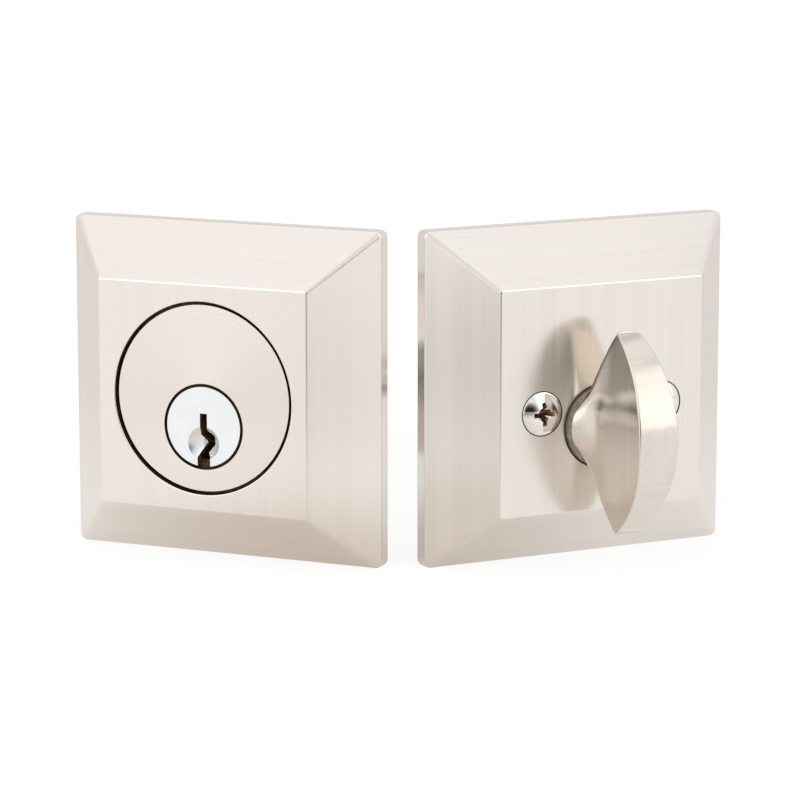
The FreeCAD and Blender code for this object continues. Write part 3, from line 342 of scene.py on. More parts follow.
def rounded_sheet(width, forward, corner, steps):
    """A square sheet with rounded corners, facing the front."""
    sheet = added(bpy.ops.mesh.primitive_plane_add, size=width,
                  location=(0, -forward, rose_width / 2), rotation=facing_front)
    choose(sheet, "VERT", lambda vertex: True)
    bpy.ops.mesh.bevel(offset=corner, segments=steps, affect="VERTICES")
    leave()
    return sheet


def round_bar(radius, front, length, across=0.0, height=0.0, rear_radius=None, vertices=96):
    """A round bar or cone along Y, from its front distance before the door backwards."""
    settings = dict(vertices=vertices, depth=length, rotation=facing_front,
                    location=(across, length / 2 - front, height))
    if rear_radius is None:
        return added(bpy.ops.mesh.primitive_cylinder_add, radius=radius, **settings)
    return added(bpy.ops.mesh.primitive_cone_add, radius1=rear_radius, radius2=radius, **settings)


def model_rose():
    """The bevelled shell, open at the door and without openings."""
    rim = rounded_sheet(rose_width, 0, rose_corner, 4)
    choose(rim, "FACE", lambda face: True)
    bpy.ops.mesh.extrude_region_move(TRANSFORM_OT_translate={"value": (0, -rose_side, 0)})
    leave()
    choose(rim, "FACE", lambda face: abs(face.normal.y) > 0.9)
    bpy.ops.mesh.delete(type="FACE")
    leave()
    front = rounded_sheet(rose_face, rose_depth, face_corner, 4)
    rose = joined(rim, front)

    def bevel_ends(edge):
        depths = [-end.co.y for end in edge.verts]
        level = all(abs(depth - rose_side) < 1e-5 for depth in depths) \
            or all(abs(depth - rose_depth) < 1e-5 for depth in depths)
        return level and edge.is_boundary

    choose(rose, "EDGE", bevel_ends)
    bpy.ops.mesh.bridge_edge_loops()
    face_outwards()
    modify(rose, "SOLIDIFY", thickness=rose_wall, offset=-1.0, use_even_offset=True)
    ease(rose, 0.00024, 3, 35, clamp=False)
    return rose


def ease_openings(rose, *openings):
    """Take the sharp edge off round openings, each given as across, height and radius."""
    def rim(edge):
        return all(abs(vertex.co.y + rose_depth) < 1e-5 and any(
            abs(math.hypot(vertex.co.x - across, vertex.co.z - height) - radius) < 1e-5
            for across, height, radius in openings) for vertex in edge.verts)

    choose(rose, "EDGE", rim)
    bpy.ops.mesh.bevel(offset=0.00022, segments=3, clamp_overlap=True)
    leave()


def blank_finish(name, **inputs):
    """A new material with these inputs of its shader, its tree, and where in the set a point lies."""
    finish = bpy.data.materials.new(name)
    finish.use_nodes = True
    for socket, value in inputs.items():
        finish.node_tree.nodes["Principled BSDF"].inputs[socket].default_value = value
    return finish, finish.node_tree, add_node(finish.node_tree, "TexCoord").outputs["Object"]


def brushed_nickel(name, place, pale, deep, rough, pull):
    """Satin nickel with a hand-brushed grain.

    The plating is warm and pale, and its grain, 0.3 mm wide and up to 40 mm long, draws
    reflections out sideways: across the flat front and the side bevels, and up and down
    on the top and bottom bevels.
    """
    finish, tree, spot = blank_finish(name, Metallic=1.0, Anisotropic=pull)
    turn = (0, 0, -place.to_euler().z)
    local = add_node(tree, "Mapping",
                     {"Rotation": turn, "Location": place.inverted().translation}, Vector=spot)
    facing = add_node(tree, "NewGeometry").outputs["Normal"]
    slope = add_node(tree, "SeparateXYZ", i0=facing).outputs["Z"]
    steep = add_node(tree, "Math", {"operation": "ABSOLUTE"}, i0=slope)
    lying = add_node(tree, "Math", {"operation": "GREATER_THAN", 1: 0.35}, i0=steep.outputs[0])
    upright_grain = add_node(tree, "Mapping", {"Scale": (3300, 3300, 9)}, Vector=local.outputs[0])
    level_grain = add_node(tree, "Mapping", {"Scale": (9, 3300, 3300)}, Vector=local.outputs[0])
    grain = add_node(tree, "Mix", {"data_type": "VECTOR"}, i0=lying.outputs[0],
                     i4=upright_grain.outputs[0], i5=level_grain.outputs[0])
    streaks = add_node(tree, "TexNoise", {"Scale": 1.0, "Detail": 3.0, "Roughness": 0.6},
                       Vector=grain.outputs[1]).outputs["Fac"]
    bands = add_node(tree, "VectorMath", {"operation": "MULTIPLY", 1: (0.12, 0.12, 0.12)},
                     i0=grain.outputs[1])
    bands = add_node(tree, "TexNoise", {"Scale": 1.0, "Detail": 1.0},
                     Vector=bands.outputs[0]).outputs["Fac"]
    blend = add_node(tree, "Mix", {"data_type": "FLOAT", 0: 0.35}, i2=streaks, i3=bands)
    add_node(tree, "ValToRGB", {"stops": ((0.30, deep), (0.70, pale))}, "Base Color",
             i0=blend.outputs[0])
    add_node(tree, "MapRange", {"From Min": 0.25, "From Max": 0.75, "To Min": rough - 0.02,
                                "To Max": rough + 0.04}, "Roughness", i0=blend.outputs[0])
    across = place.to_3x3() @ Vector((1, 0, 0))
    tangent = add_node(tree, "Mix", {"data_type": "VECTOR", 4: across, 5: (0, 0, 1)},
                       i0=lying.outputs[0])
    tree.links.new(tangent.outputs[1], tree.nodes["Principled BSDF"].inputs["Tangent"])
    add_node(tree, "Bump", {"Strength": 0.08, "Distance": 0.00002}, "Normal", Height=streaks)
    return finish


def dull_brass(name, pale, deep, rough):
    """Unplated brass and other dull metal, mottled between two colours. Drawn dark brown or grey in gaps
    and recesses, it is painted shade there.
    """
    finish, tree, spot = blank_finish(name, Metallic=0.6, Roughness=rough)
    mottle = add_node(tree, "TexNoise", {"Scale": 900.0, "Detail": 4.0}, Vector=spot)
    add_node(tree, "ValToRGB", {"stops": ((0.35, deep), (0.70, pale))}, "Base Color",
             i0=mottle.outputs["Fac"])
    return finish


# Dark brown for the walls of gaps: painted shade.
painted_shade_brass = dull_brass("painted_shade_brass", "#6B5436", "#3A2A18", 0.55)
outside_nickel = brushed_nickel("brushed_satin_nickel_outside", outside_half,
                                "#F4EEE8", "#EDE5DE", 0.19, 0.45)
# The inside rose's plating is drawn a shade darker than the outside rose's on the same finish: painted
# shade.
inside_nickel = brushed_nickel("brushed_satin_nickel_inside", inside_half, "#F0EBE5", "#E8E2DA", 0.17, 0.40)


def paint_hidden(piece, plated, wall, hidden):
    """Plate the piece, and give its hidden walls the second finish; where that is the dark brown or grey,
    it is painted shade.
    """
    piece.data.materials.clear()
    piece.data.materials.append(plated)
    piece.data.materials.append(wall)
    for face in piece.data.polygons:
        face.material_index = int(hidden(face))


opening_radius = 0.01825
outside_rose = model_rose()
cut(outside_rose, round_bar(opening_radius, ahead, 0.02, height=rose_width / 2, vertices=128))
ease_openings(outside_rose, (0, rose_width / 2, opening_radius))
smooth(outside_rose)
# The opening's wall and the inside of the shell get the dark brown: painted shade.
paint_hidden(outside_rose, outside_nickel, painted_shade_brass, lambda face: (
    math.hypot(face.center.x, face.center.z - rose_width / 2) < opening_radius + 0.00005
    and abs(face.normal.y) < 0.3) or face.normal.y > 0.25)
settle(outside_rose, "exterior_rose_shell", outside_half, "lock_set", "satin_nickel_rose", "exterior_rose")

turn_opening = 0.00805
screw_hole = 0.0023
screw_head = 0.0043
countersink = 0.0024
post_radius = 0.00375
inside_rose = model_rose()
for side in (-1, 1):
    spot = dict(across=screw_half * side, height=screw_height, vertices=48)
    post = round_bar(post_radius, rose_depth - rose_wall / 2, rose_depth - rose_wall / 2 - 0.002, **spot)
    cut(inside_rose, post, operation="UNION")
    cut(inside_rose, round_bar(screw_hole, ahead, 0.021, **spot),
        round_bar(screw_head, rose_depth + 0.00001, countersink + 0.00001, rear_radius=screw_hole, **spot))
cut(inside_rose, round_bar(turn_opening, ahead, 0.0105, height=turning_height))
ease_openings(inside_rose, (0, turning_height, turn_opening),
              (-screw_half, screw_height, screw_head), (screw_half, screw_height, screw_head))
smooth(inside_rose)
# The inside of the shell and the walls of the countersinks and screw holes get the dark brown: painted
# shade.
paint_hidden(inside_rose, inside_nickel, painted_shade_brass, lambda face: face.normal.y > 0.25 or (
    math.hypot(abs(face.center.x) - screw_half, face.center.z - screw_height) < screw_head - 0.0001
    and face.center.y > -rose_depth + 0.0001))
settle(inside_rose, "interior_rose_shell", inside_half, "lock_set", "satin_nickel_rose", "interior_rose")

# ------------------------------------------------------------------ cylinder housing
# A bar of brass turned to 35.2 mm with a flange behind the rose, bored for the plug and
# for five pins. Its front was faced on a lathe before it was plated with satin nickel.

mm = 0.001
rose_middle = rose_width / 2
face_front = rose_depth - 0.5 * mm
inner_front = rose_depth - rose_wall
housing_radius = 17.6 * mm
housing_reach = 18.0 * mm
collar_radius = 8.15 * mm
plug_radius = 6.35 * mm
head_radius = 7.55 * mm
head_thick = 1.4 * mm


def local_middle(node, place):
    """The middle of a CAD node in the coordinates of its half."""
    low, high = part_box(node)
    return place.inverted() @ ((low + high) / 2)


def upright_bar(radius, low, high, across, back, vertices=32):
    return added(bpy.ops.mesh.primitive_cylinder_add, radius=radius, depth=high - low,
                 location=(across, back, (low + high) / 2), vertices=vertices)


def block(width, depth, height, middle):
    return added(bpy.ops.mesh.primitive_cube_add, size=1.0, scale=(width, depth, height), location=middle)


housing = round_bar(housing_radius, face_front, face_front + housing_reach,
                    height=rose_middle, vertices=160)
cut(housing, round_bar(19.6 * mm, inner_front, 2 * mm, height=rose_middle, vertices=160), operation="UNION")
cut(housing,
    round_bar(plug_radius + 0.05 * mm, ahead, through, height=turning_height),
    round_bar(collar_radius, ahead, ahead - face_front + head_thick + 0.1 * mm,
              height=turning_height, vertices=128))
for number in range(1, 6):
    pin = local_middle(f"driver_pin_{number}", outside_half)
    cut(housing, upright_bar(1.5 * mm, turning_height, turning_height + 20.6 * mm, 0, pin.y))
cap = local_middle("chamber_cap", outside_half)
cut(housing, block(3.8 * mm, 20.2 * mm, 6 * mm, (0, cap.y, turning_height + 23.6 * mm)))
for side in (-1, 1):
    cut(housing, round_bar(1.75 * mm, -2 * mm, 20 * mm, screw_half * side, screw_height, vertices=32))
ease(housing, 0.22 * mm, 3, 50)
smooth(housing, 30)


def turned_nickel(name, place, centre_height, pale, deep, rough):
    """Satin nickel over a lathe-turned face.

    Rings 0.4 mm apart, coarser than the real tool marks so that they show, draw each
    reflection out along the radius, which gives the face two pale fans.
    """
    finish, tree, spot = blank_finish(name, Metallic=1.0, Anisotropic=0.75)
    axis_point = place @ Vector((0, 0, centre_height))
    forwards = place.to_3x3() @ Vector((0, -1, 0))
    offset = add_node(tree, "VectorMath", {"operation": "SUBTRACT", 1: axis_point}, i0=spot)
    along = add_node(tree, "VectorMath", {"operation": "PROJECT", 1: forwards}, i0=offset.outputs[0])
    radial = add_node(tree, "VectorMath", {"operation": "SUBTRACT"},
                      i0=offset.outputs[0], i1=along.outputs[0])
    distance = add_node(tree, "VectorMath", {"operation": "LENGTH"}, i0=radial.outputs[0])
    depth = add_node(tree, "VectorMath", {"operation": "DOT_PRODUCT", 1: forwards},
                     i0=offset.outputs[0])
    rings = add_node(tree, "CombineXYZ", i0=distance.outputs["Value"], i1=depth.outputs["Value"])
    marks = add_node(tree, "TexNoise", {"Scale": 2600.0, "Detail": 2.0}, Vector=rings.outputs[0])
    add_node(tree, "ValToRGB", {"stops": ((0.30, deep), (0.70, pale))}, "Base Color",
             i0=marks.outputs["Fac"])
    add_node(tree, "MapRange", {"From Min": 0.30, "From Max": 0.70, "To Min": rough - 0.04,
                                "To Max": rough + 0.05}, "Roughness", i0=marks.outputs["Fac"])
    add_node(tree, "VectorMath", {"operation": "NORMALIZE"}, "Tangent", i0=radial.outputs[0])
    add_node(tree, "Bump", {"Strength": 0.03, "Distance": 0.00001}, "Normal",
             Height=marks.outputs["Fac"])
    return finish


housing_nickel = turned_nickel("lathe_turned_satin_nickel", outside_half, rose_middle,
                               "#F1EAE3", "#ECE4DC", 0.24)
# The walls round the plug and the housing's side inside the rose's opening get the dark brown: painted
# shade.
paint_hidden(housing, housing_nickel, painted_shade_brass, lambda face: (
    face.center.y > 0.3 * mm - face_front
    and (math.hypot(face.center.x, face.center.z - turning_height) < 8.3 * mm
         or face.center.y < -inner_front + 0.1 * mm)))
settle(housing, "turned_cylinder_housing", outside_half, "lock_set", "satin_nickel_cylinder",
       "cylinder_housing")

# ------------------------------------------------------------------ plug
# The brass plug that the key turns: its head is polished and plated bright, with the
# keyway broached through it and a shallow dimple that leads the key in.

plug_end = -(housing_reach + 2 * mm)
dimple_radius = 3.2 * mm
dimple_deep = 0.75 * mm
dimple_height = turning_height - 3.175 * mm


def outline_bar(points, front, length, height):
    """A bar along Y whose cross-section has the given corners, clockwise from the front."""
    bar = new_piece([(x, -front, z + height) for x, z in points], [], [tuple(range(len(points)))])
    choose(bar, "FACE", lambda face: True)
    bpy.ops.mesh.extrude_region_move(TRANSFORM_OT_translate={"value": (0, length, 0)})
    face_outwards()
    return bar


keyway = [(x * mm, z * mm) for x, z in (
    (-0.725, 2.5), (0.725, 2.5), (0.725, -0.725), (2.225, -1.65), (2.225, -3.19), (0.87, -4.93),
    (1.305, -5.8), (1.305, -15.1), (-1.305, -15.1), (-1.305, -5.8), (-0.725, -4.785),
    (0.65, -2.9), (-0.725, -1.595))]
plug = round_bar(head_radius, face_front, head_thick, height=turning_height, vertices=128)
barrel = round_bar(plug_radius, face_front - head_thick / 2, face_front - head_thick / 2 - plug_end,
                   height=turning_height, vertices=96)
cut(plug, barrel, operation="UNION")
bowl = dimple_radius ** 2 / dimple_deep / 2 + dimple_deep / 2
cut(plug, added(bpy.ops.mesh.primitive_uv_sphere_add, radius=bowl, segments=256, ring_count=256,
                location=(0, -face_front - bowl + dimple_deep, dimple_height)))
cut(plug, outline_bar(keyway, ahead, through, turning_height))
for number in range(1, 6):
    pin = local_middle(f"bottom_pin_{number}", outside_half)
    cut(plug, upright_bar(1.5 * mm, turning_height + 0.3 * mm, turning_height + 9 * mm, 0, pin.y))
ease(plug, 0.12 * mm, 2, 50)
smooth(plug, 25)


def polished_nickel(name, place, centre, pale, deep, rough):
    """Bright nickel over polished brass: a mirror with the faint rings of the polishing wheel."""
    finish, tree, spot = blank_finish(name, Metallic=1.0)
    offset = add_node(tree, "VectorMath", {"operation": "SUBTRACT", 1: place @ Vector(centre)}, i0=spot)
    distance = add_node(tree, "VectorMath", {"operation": "LENGTH"}, i0=offset.outputs[0])
    rings = add_node(tree, "CombineXYZ", i0=distance.outputs["Value"])
    marks = add_node(tree, "TexNoise", {"Scale": 4200.0, "Detail": 2.0}, Vector=rings.outputs[0])
    haze = add_node(tree, "TexNoise", {"Scale": 350.0, "Detail": 3.0}, Vector=spot)
    blend = add_node(tree, "Mix", {"data_type": "FLOAT", 0: 0.5},
                     i2=marks.outputs["Fac"], i3=haze.outputs["Fac"])
    add_node(tree, "ValToRGB", {"stops": ((0.35, deep), (0.65, pale))}, "Base Color",
             i0=blend.outputs[0])
    add_node(tree, "MapRange", {"From Min": 0.35, "From Max": 0.65, "To Min": rough,
                                "To Max": rough + 0.05}, "Roughness", i0=blend.outputs[0])
    add_node(tree, "Bump", {"Strength": 0.10, "Distance": 0.00001}, "Normal",
             Height=marks.outputs["Fac"])
    return finish


def inside_keyway(x, z):
    """Whether a point of the front lies in the keyway or on its edge."""
    inside = False
    for (x0, z0), (x1, z1) in zip(keyway, keyway[1:] + keyway[:1]):
        if (z0 > z) != (z1 > z) and x < (x1 - x0) * (z - z0) / (z1 - z0) + x0:
            inside = not inside
        length = math.hypot(x1 - x0, z1 - z0)
        share = max(0, min(1, ((x - x0) * (x1 - x0) + (z - z0) * (z1 - z0)) / length ** 2))
        if math.hypot(x0 + share * (x1 - x0) - x, z0 + share * (z1 - z0) - z) < 0.02 * mm:
            return True
    return inside


broached_brass = dull_brass("broached_brass", "#A98C50", "#5A4520", 0.40)
plug_nickel = polished_nickel("polished_nickel_plug", outside_half,
                              (0, -face_front, dimple_height), "#F6F9F9", "#EEF2F3", 0.05)


def milled_nickel(name, place, centre, pale, deep):
    """The dimple: cutter rings 0.28 mm apart, coarser than the real ones so that they show.

    They break a reflection into arcs. Towards the left they fade out and leave it pale; on the right they
    are drawn dark, a painted shade.
    """
    finish, tree, spot = blank_finish(name, Metallic=1.0, Roughness=0.26)
    offset = add_node(tree, "VectorMath", {"operation": "SUBTRACT", 1: place @ Vector(centre)}, i0=spot)
    distance = add_node(tree, "VectorMath", {"operation": "LENGTH"}, i0=offset.outputs[0])
    turns = add_node(tree, "Math", {"operation": "MULTIPLY", 1: 2 * math.pi / (0.28 * mm)},
                     i0=distance.outputs["Value"])
    waves = add_node(tree, "Math", {"operation": "SINE"}, i0=turns.outputs[0])
    uneven = add_node(tree, "TexNoise", {"Scale": 1600.0, "Detail": 3.0}, Vector=spot)
    rings = add_node(tree, "Math", {"operation": "MULTIPLY"},
                     i0=waves.outputs[0], i1=uneven.outputs["Fac"])
    across = add_node(tree, "SeparateXYZ", i0=offset.outputs[0]).outputs["X"]
    painted_shade_side = add_node(tree, "MapRange", {"From Min": -0.9 * mm, "From Max": 0.3 * mm}, i0=across)
    rings = add_node(tree, "Math", {"operation": "MULTIPLY"}, i0=rings.outputs[0], i1=painted_shade_side.outputs[0])
    shade = add_node(tree, "MapRange", {"From Min": -0.5, "From Max": 0.5}, i0=rings.outputs[0])
    add_node(tree, "ValToRGB", {"stops": ((0.34, deep), (0.48, pale))}, "Base Color",
             i0=shade.outputs[0])
    add_node(tree, "Bump", {"Strength": 0.5, "Distance": 0.00003}, "Normal", Height=rings.outputs[0])
    return finish


paint_hidden(plug, plug_nickel, broached_brass, lambda face: (
    inside_keyway(face.center.x, face.center.z - turning_height) and abs(face.normal.y) < 0.5))
ring_centre = (0.8 * mm, -face_front, turning_height - 2.6 * mm)
# The dimple's rings are painted dark on its right side: painted shade.
plug.data.materials.append(milled_nickel("milled_nickel_dimple", outside_half, ring_centre,
                                         "#E9EBEB", "#2A2621"))
for face in plug.data.polygons:
    below_face = face_front + face.center.y
    if face.material_index == 0 and 0.02 * mm < below_face < mm \
            and math.hypot(face.center.x, face.center.z - dimple_height) < dimple_radius:
        face.material_index = 2
settle(plug, "broached_plug", outside_half, "plug_assembly", "polished_plug", "plug")

# ------------------------------------------------------------------ thumbturn
# A brass forging: a dome grows out of a collar into a thin grip with hollow sides and a
# curved front. It was ground, brushed and plated with satin nickel.

turn_root = 14.8 * mm
turn_front = 34.7 * mm
turn_curve = 21.0 * mm
dome_radius = 7.1 * mm
grip_half_width = 4.15 * mm
grip_half_height = 18.5 * mm
grip_length = turn_front - turn_root
edge_round = 0.6 * mm
front_edge = 0.35 * mm
# distance from the root, then half width at the middle, half width and half height at
# the corners, and half height at the middle of the bowed ends
grip_stations = [(0.0, dome_radius, dome_radius / 2, dome_radius * math.sqrt(0.75), dome_radius)]
for share, waist, end, tall in ((0.10, 1.28, 0.86, 0.51), (0.22, 0.99, 0.72, 0.75),
                                (0.37, 0.89, 0.54, 1.00), (0.60, 0.89, 0.60, 1.12),
                                (1.08, 1.02, 0.50, 1.20)):
    corner = grip_half_height * tall
    grip_stations.append((grip_length * share, grip_half_width * waist, grip_half_width * end,
                          corner, corner + grip_half_width * end * 0.25))


def grip_shape(distance):
    """The four sizes of the grip's outline at a distance from its root, drawn through the stations."""
    spans = len(grip_stations) - 1
    span = next((place for place in range(spans) if distance <= grip_stations[place + 1][0]), spans - 1)
    before, after = grip_stations[span], grip_stations[span + 1]
    reach = after[0] - before[0]
    along = (distance - before[0]) / reach

    def slope(place, which):
        low = grip_stations[max(place - 1, 0)]
        high = grip_stations[min(place + 1, spans)]
        return (high[which] - low[which]) / (high[0] - low[0])

    shape = []
    for which in range(1, 5):
        rise, fall = slope(span, which) * reach, slope(span + 1, which) * reach
        shape.append((2 * along ** 3 - 3 * along ** 2 + 1) * before[which]
                     + (along ** 3 - 2 * along ** 2 + along) * rise
                     + (3 * along ** 2 - 2 * along ** 3) * after[which] + (along ** 3 - along ** 2) * fall)
    return shape


def grip_outline(distance):
    """Half of the outline, from the top round the right side to the bottom."""
    waist, end, corner, top = grip_shape(distance)
    cap_radius = (end ** 2 + (top - corner) ** 2) / (top - corner) / 2
    side_radius = (corner ** 2 + (waist - end) ** 2) / (waist - end) / 2
    cap_turn = math.asin(min(1, end / cap_radius))
    side_turn = math.asin(min(1, corner / side_radius))
    cap_keep = 1 - edge_round / (cap_turn * cap_radius)
    side_keep = 1 - edge_round / (side_turn * side_radius)

    def on_cap(share):
        turn = cap_turn * share
        return cap_radius * math.sin(turn), top - cap_radius + cap_radius * math.cos(turn)

    def on_side(share):
        turn = side_turn * share
        return waist - side_radius + side_radius * math.cos(turn), side_radius * math.sin(turn)

    points = [on_cap(cap_keep * step / 4) for step in range(5)]
    (x0, z0), (x2, z2) = points[-1], on_side(side_keep)
    for step in range(1, 4):
        share = step / 4
        points.append(tuple((1 - share) ** 2 * a + 2 * share * (1 - share) * b + share ** 2 * c
                            for a, b, c in zip((x0, z0), (end, corner), (x2, z2))))
    points += [on_side(side_keep * (1 - step / 12)) for step in range(13)]
    lower = [(x, -z) for x, z in reversed(points[:-1])]
    return points + lower


half_count = len(grip_outline(0.001))
ring_count = 34
columns = []
for column in range(half_count):
    low, high = 0.0, grip_length * 1.05
    for _ in range(40):
        distance = (low + high) / 2
        tall = min(abs(grip_outline(distance)[column][1]), turn_curve)
        if distance + turn_root < turn_front - turn_curve + math.sqrt(turn_curve ** 2 - tall ** 2):
            low = distance
        else:
            high = distance
    columns.append(low)
rim = [grip_outline(distance)[column] for column, distance in enumerate(columns)]


def outwards(column):
    """The direction square to the rim of the grip's front, seen from the front."""
    before = rim[column - 1] if column else (-rim[1][0], rim[1][1])
    after = rim[column + 1] if column + 1 < half_count else (-rim[-2][0], rim[-2][1])
    x, z = before[1] - after[1], after[0] - before[0]
    return x / math.hypot(x, z), z / math.hypot(x, z)


vertices = []
for ring in range(ring_count + 5):
    right = []
    for column in range(half_count):
        if ring <= ring_count:
            distance = (columns[column] - front_edge) * ring / ring_count
            x, z = grip_outline(distance)[column]
        else:
            turn = math.radians(90) * (ring - ring_count) / 4
            inset = front_edge * (1 - math.cos(turn))
            x, z = (place - away_from * inset for place, away_from in zip(rim[column], outwards(column)))
            distance = columns[column] - front_edge * (1 - math.sin(turn))
        right.append((x, -turn_root - distance, z + turning_height))
    left = [(-x, y, z) for x, y, z in reversed(right[1:-1])]
    vertices += right + left
around = 2 * half_count - 2
faces = [tuple(range(around))]
for ring in range(ring_count + 4):
    for place in range(around):
        following = (place + 1) % around
        faces.append((ring * around + place, (ring + 1) * around + place,
                      (ring + 1) * around + following, ring * around + following))
last = (ring_count + 4) * around
for column in range(1, half_count - 2):
    mirrored = around - column
    faces.append((last + column, last + mirrored, last + mirrored - 1, last + column + 1))
faces.append((last, last + around - 1, last + 1))
faces.append((last + half_count - 2, last + half_count, last + half_count - 1))
grip = new_piece(vertices, [], faces)
choose(grip, "FACE", lambda face: True)
face_outwards()

ring_front = 9.2 * mm
collar = round_bar(7.7 * mm, turn_root, turn_root - 12.0 * mm, height=turning_height)
shank = round_bar(5.0 * mm, turn_root - 0.2 * mm, turn_root - 0.2 * mm - 7.6 * mm, height=turning_height)
cut(collar, shank, operation="UNION")
groove = round_bar(6.0 * mm, ring_front, 0.8 * mm, height=turning_height)
cut(groove, round_bar(4.2 * mm, ring_front + mm, 3 * mm, height=turning_height))
cut(collar, groove, round_bar(3.95 * mm, inner_front, inner_front, height=turning_height))
ease(collar, 0.3 * mm, 3, 50)
thumbturn = joined(grip, collar)
smooth(thumbturn, 40, weighted=False)
# The collar that sits in the rose's opening is drawn a darker grey than the grip: painted shade.
collar_nickel = dull_brass("painted_shade_collar", "#B3A797", "#9A8E7E", 0.38)
# The thumbturn's plating is drawn darker than the roses' on the same finish: painted shade for the dim
# reflections that its sides show.
turn_nickel = brushed_nickel("brushed_satin_nickel_thumbturn", inside_half,
                             "#E8E1D8", "#DDD5CB", 0.19, 0.25)
paint_hidden(thumbturn, turn_nickel, collar_nickel, lambda face: -face.center.y < turn_root + 0.01 * mm)
settle(thumbturn, "forged_thumbturn", inside_half, "thumbturn_assembly", "satin_nickel_turn", "thumbturn")

# ------------------------------------------------------------------ through screws
# Two number 8 machine screws with oval heads and cross recesses, rolled and headed in
# steel and plated bright. They draw the halves together through the door.

screw_dome = 1.2 * mm
screw_shank = 2.05 * mm
screw_length = rose_depth + 31.0 * mm
thread_pitch = 0.79 * mm


def cross_cutter(long, wide, deep):
    """A tapered cross that reaches its depth below Z = 0 and 1 mm above it, for cutting a recess."""
    wings = []
    for turn in (0, 1):
        across, along = (long, wide) if turn else (wide, long)
        wing = block(across, along, deep + mm, (0, 0, (mm - deep) / 2))
        choose(wing, "VERT", lambda vertex: vertex.co.z < -deep / 2)
        bpy.ops.transform.resize(value=(0.42, 0.42, 1), center_override=(0, 0, -deep))
        leave()
        wings.append(wing)
    flare = added(bpy.ops.mesh.primitive_cone_add, radius1=wide * 0.3, radius2=wide * 1.35,
                  depth=deep * 0.8, location=(0, 0, -deep * 0.4), vertices=32)
    cut(wings[0], wings[1], flare, operation="UNION")
    return wings[0]


def thread(radius, core, pitch, length, start):
    """A rolled thread: one ridge, wound round the shank downwards from its start."""
    ridge = added(bpy.ops.mesh.primitive_circle_add, vertices=4, radius=1.0, fill_type="NGON")
    for vertex, (x, z) in zip(ridge.data.vertices, (
            (radius, 0), (core - 0.05 * mm, pitch * 0.42), (core - 0.2 * mm, 0),
            (core - 0.05 * mm, -pitch * 0.42))):
        vertex.co = (x, 0, start + z)
    turns = int(length / pitch)
    modify(ridge, "SCREW", axis="Z", screw_offset=-pitch, iterations=turns, steps=20, render_steps=20,
           use_merge_vertices=False)
    choose(ridge, "EDGE", lambda edge: edge.is_boundary)
    bpy.ops.mesh.edge_face_add()
    face_outwards()
    return ridge


def lathe(profile, steps):
    """Spin a profile of (radius, height) points round Z, from its top to its bottom."""
    turned = new_piece([(radius, 0, height) for radius, height in profile],
                       [(place, place + 1) for place in range(len(profile) - 1)], [])
    modify(turned, "SCREW", axis="Z", steps=steps, render_steps=steps, use_merge_vertices=True,
           merge_threshold=1e-6)
    choose(turned, "FACE", lambda face: True)
    bpy.ops.mesh.remove_doubles(threshold=1e-6)
    face_outwards()
    return turned


def model_oval_screw():
    """The screw upright on Z: the rim of its head at Z = 0 and its dome above."""
    head = 4.08 * mm
    ball = (head ** 2 + screw_dome ** 2) / screw_dome / 2
    core = 1.62 * mm
    crown = [(head * step / 14, screw_dome - ball + math.sqrt(ball ** 2 - (head * step / 14) ** 2))
             for step in range(15)]
    cone = lathe(crown + [(head - 0.02 * mm, -0.12 * mm), (screw_shank, -2.4 * mm), (core, -2.8 * mm),
                          (core, -screw_length), (0, -screw_length)], 96)
    recess = cross_cutter(5.4 * mm, 1.05 * mm, 2.9 * mm)
    recess.data.transform(Matrix.Translation((0, 0, screw_dome)))
    cut(cone, recess)
    ease(cone, 0.1 * mm, 2, 40)
    return joined(cone, thread(screw_shank, core, thread_pitch, screw_length - 4.5 * mm, -3.2 * mm))


oval_screw = model_oval_screw()
smooth(oval_screw, 35, weighted=False)
screw_nickel = polished_nickel("polished_nickel_screw", inside_half,
                               (0, -rose_depth, screw_height), "#F4F2EF", "#E6E2DB", 0.06)
# The cross recesses of the screws are painted brown: painted shade.
recess_shadow = dull_brass("painted_shade_screw_recess", "#B8966A", "#6E5433", 0.18)


def in_recess(face):
    across, along = abs(face.center.x), abs(face.center.y)
    in_cross = min(across, along) < 0.44 * mm and max(across, along) < 2.75 * mm
    return in_cross and -2.4 * mm < face.center.z < screw_dome and not (
        face.normal.z > 0.9 and face.center.z > 0)


def screw_place(place, head_at, turn):
    """The place of an upright screw that is laid to face the front and turned on its axis."""
    return (place @ Matrix.Translation(head_at) @ Matrix.Rotation(math.radians(90), 4, "X")
            @ Matrix.Rotation(math.radians(turn), 4, "Z"))


def set_screws(screw, name, node, place, *places):
    """Copies of a screw at the given places, joined and handed over as one node."""
    copies = []
    for at in places:
        copy = screw.copy()
        copy.data = screw.data.copy()
        bpy.context.scene.collection.objects.link(copy)
        copy.data.transform(at)
        copies.append(copy)
    settle(joined(*copies), name, place, "lock_set", "polished_screw", node)


paint_hidden(oval_screw, screw_nickel, recess_shadow, in_recess)
set_screws(oval_screw, "threaded_through_screws", "through_screws", inside_half, *(
    screw_place(Matrix(), (side * screw_half, -rose_depth, screw_height), turn)
    for side, turn in ((-1, 2), (1, -20))))
bpy.data.objects.remove(oval_screw)

# ------------------------------------------------------------------ latch front and strike plate
# Two brass plates blanked from sheet, with rounded corners and countersunk holes, and a
# steel plate behind the latch front. The brass is brushed along its length and plated.

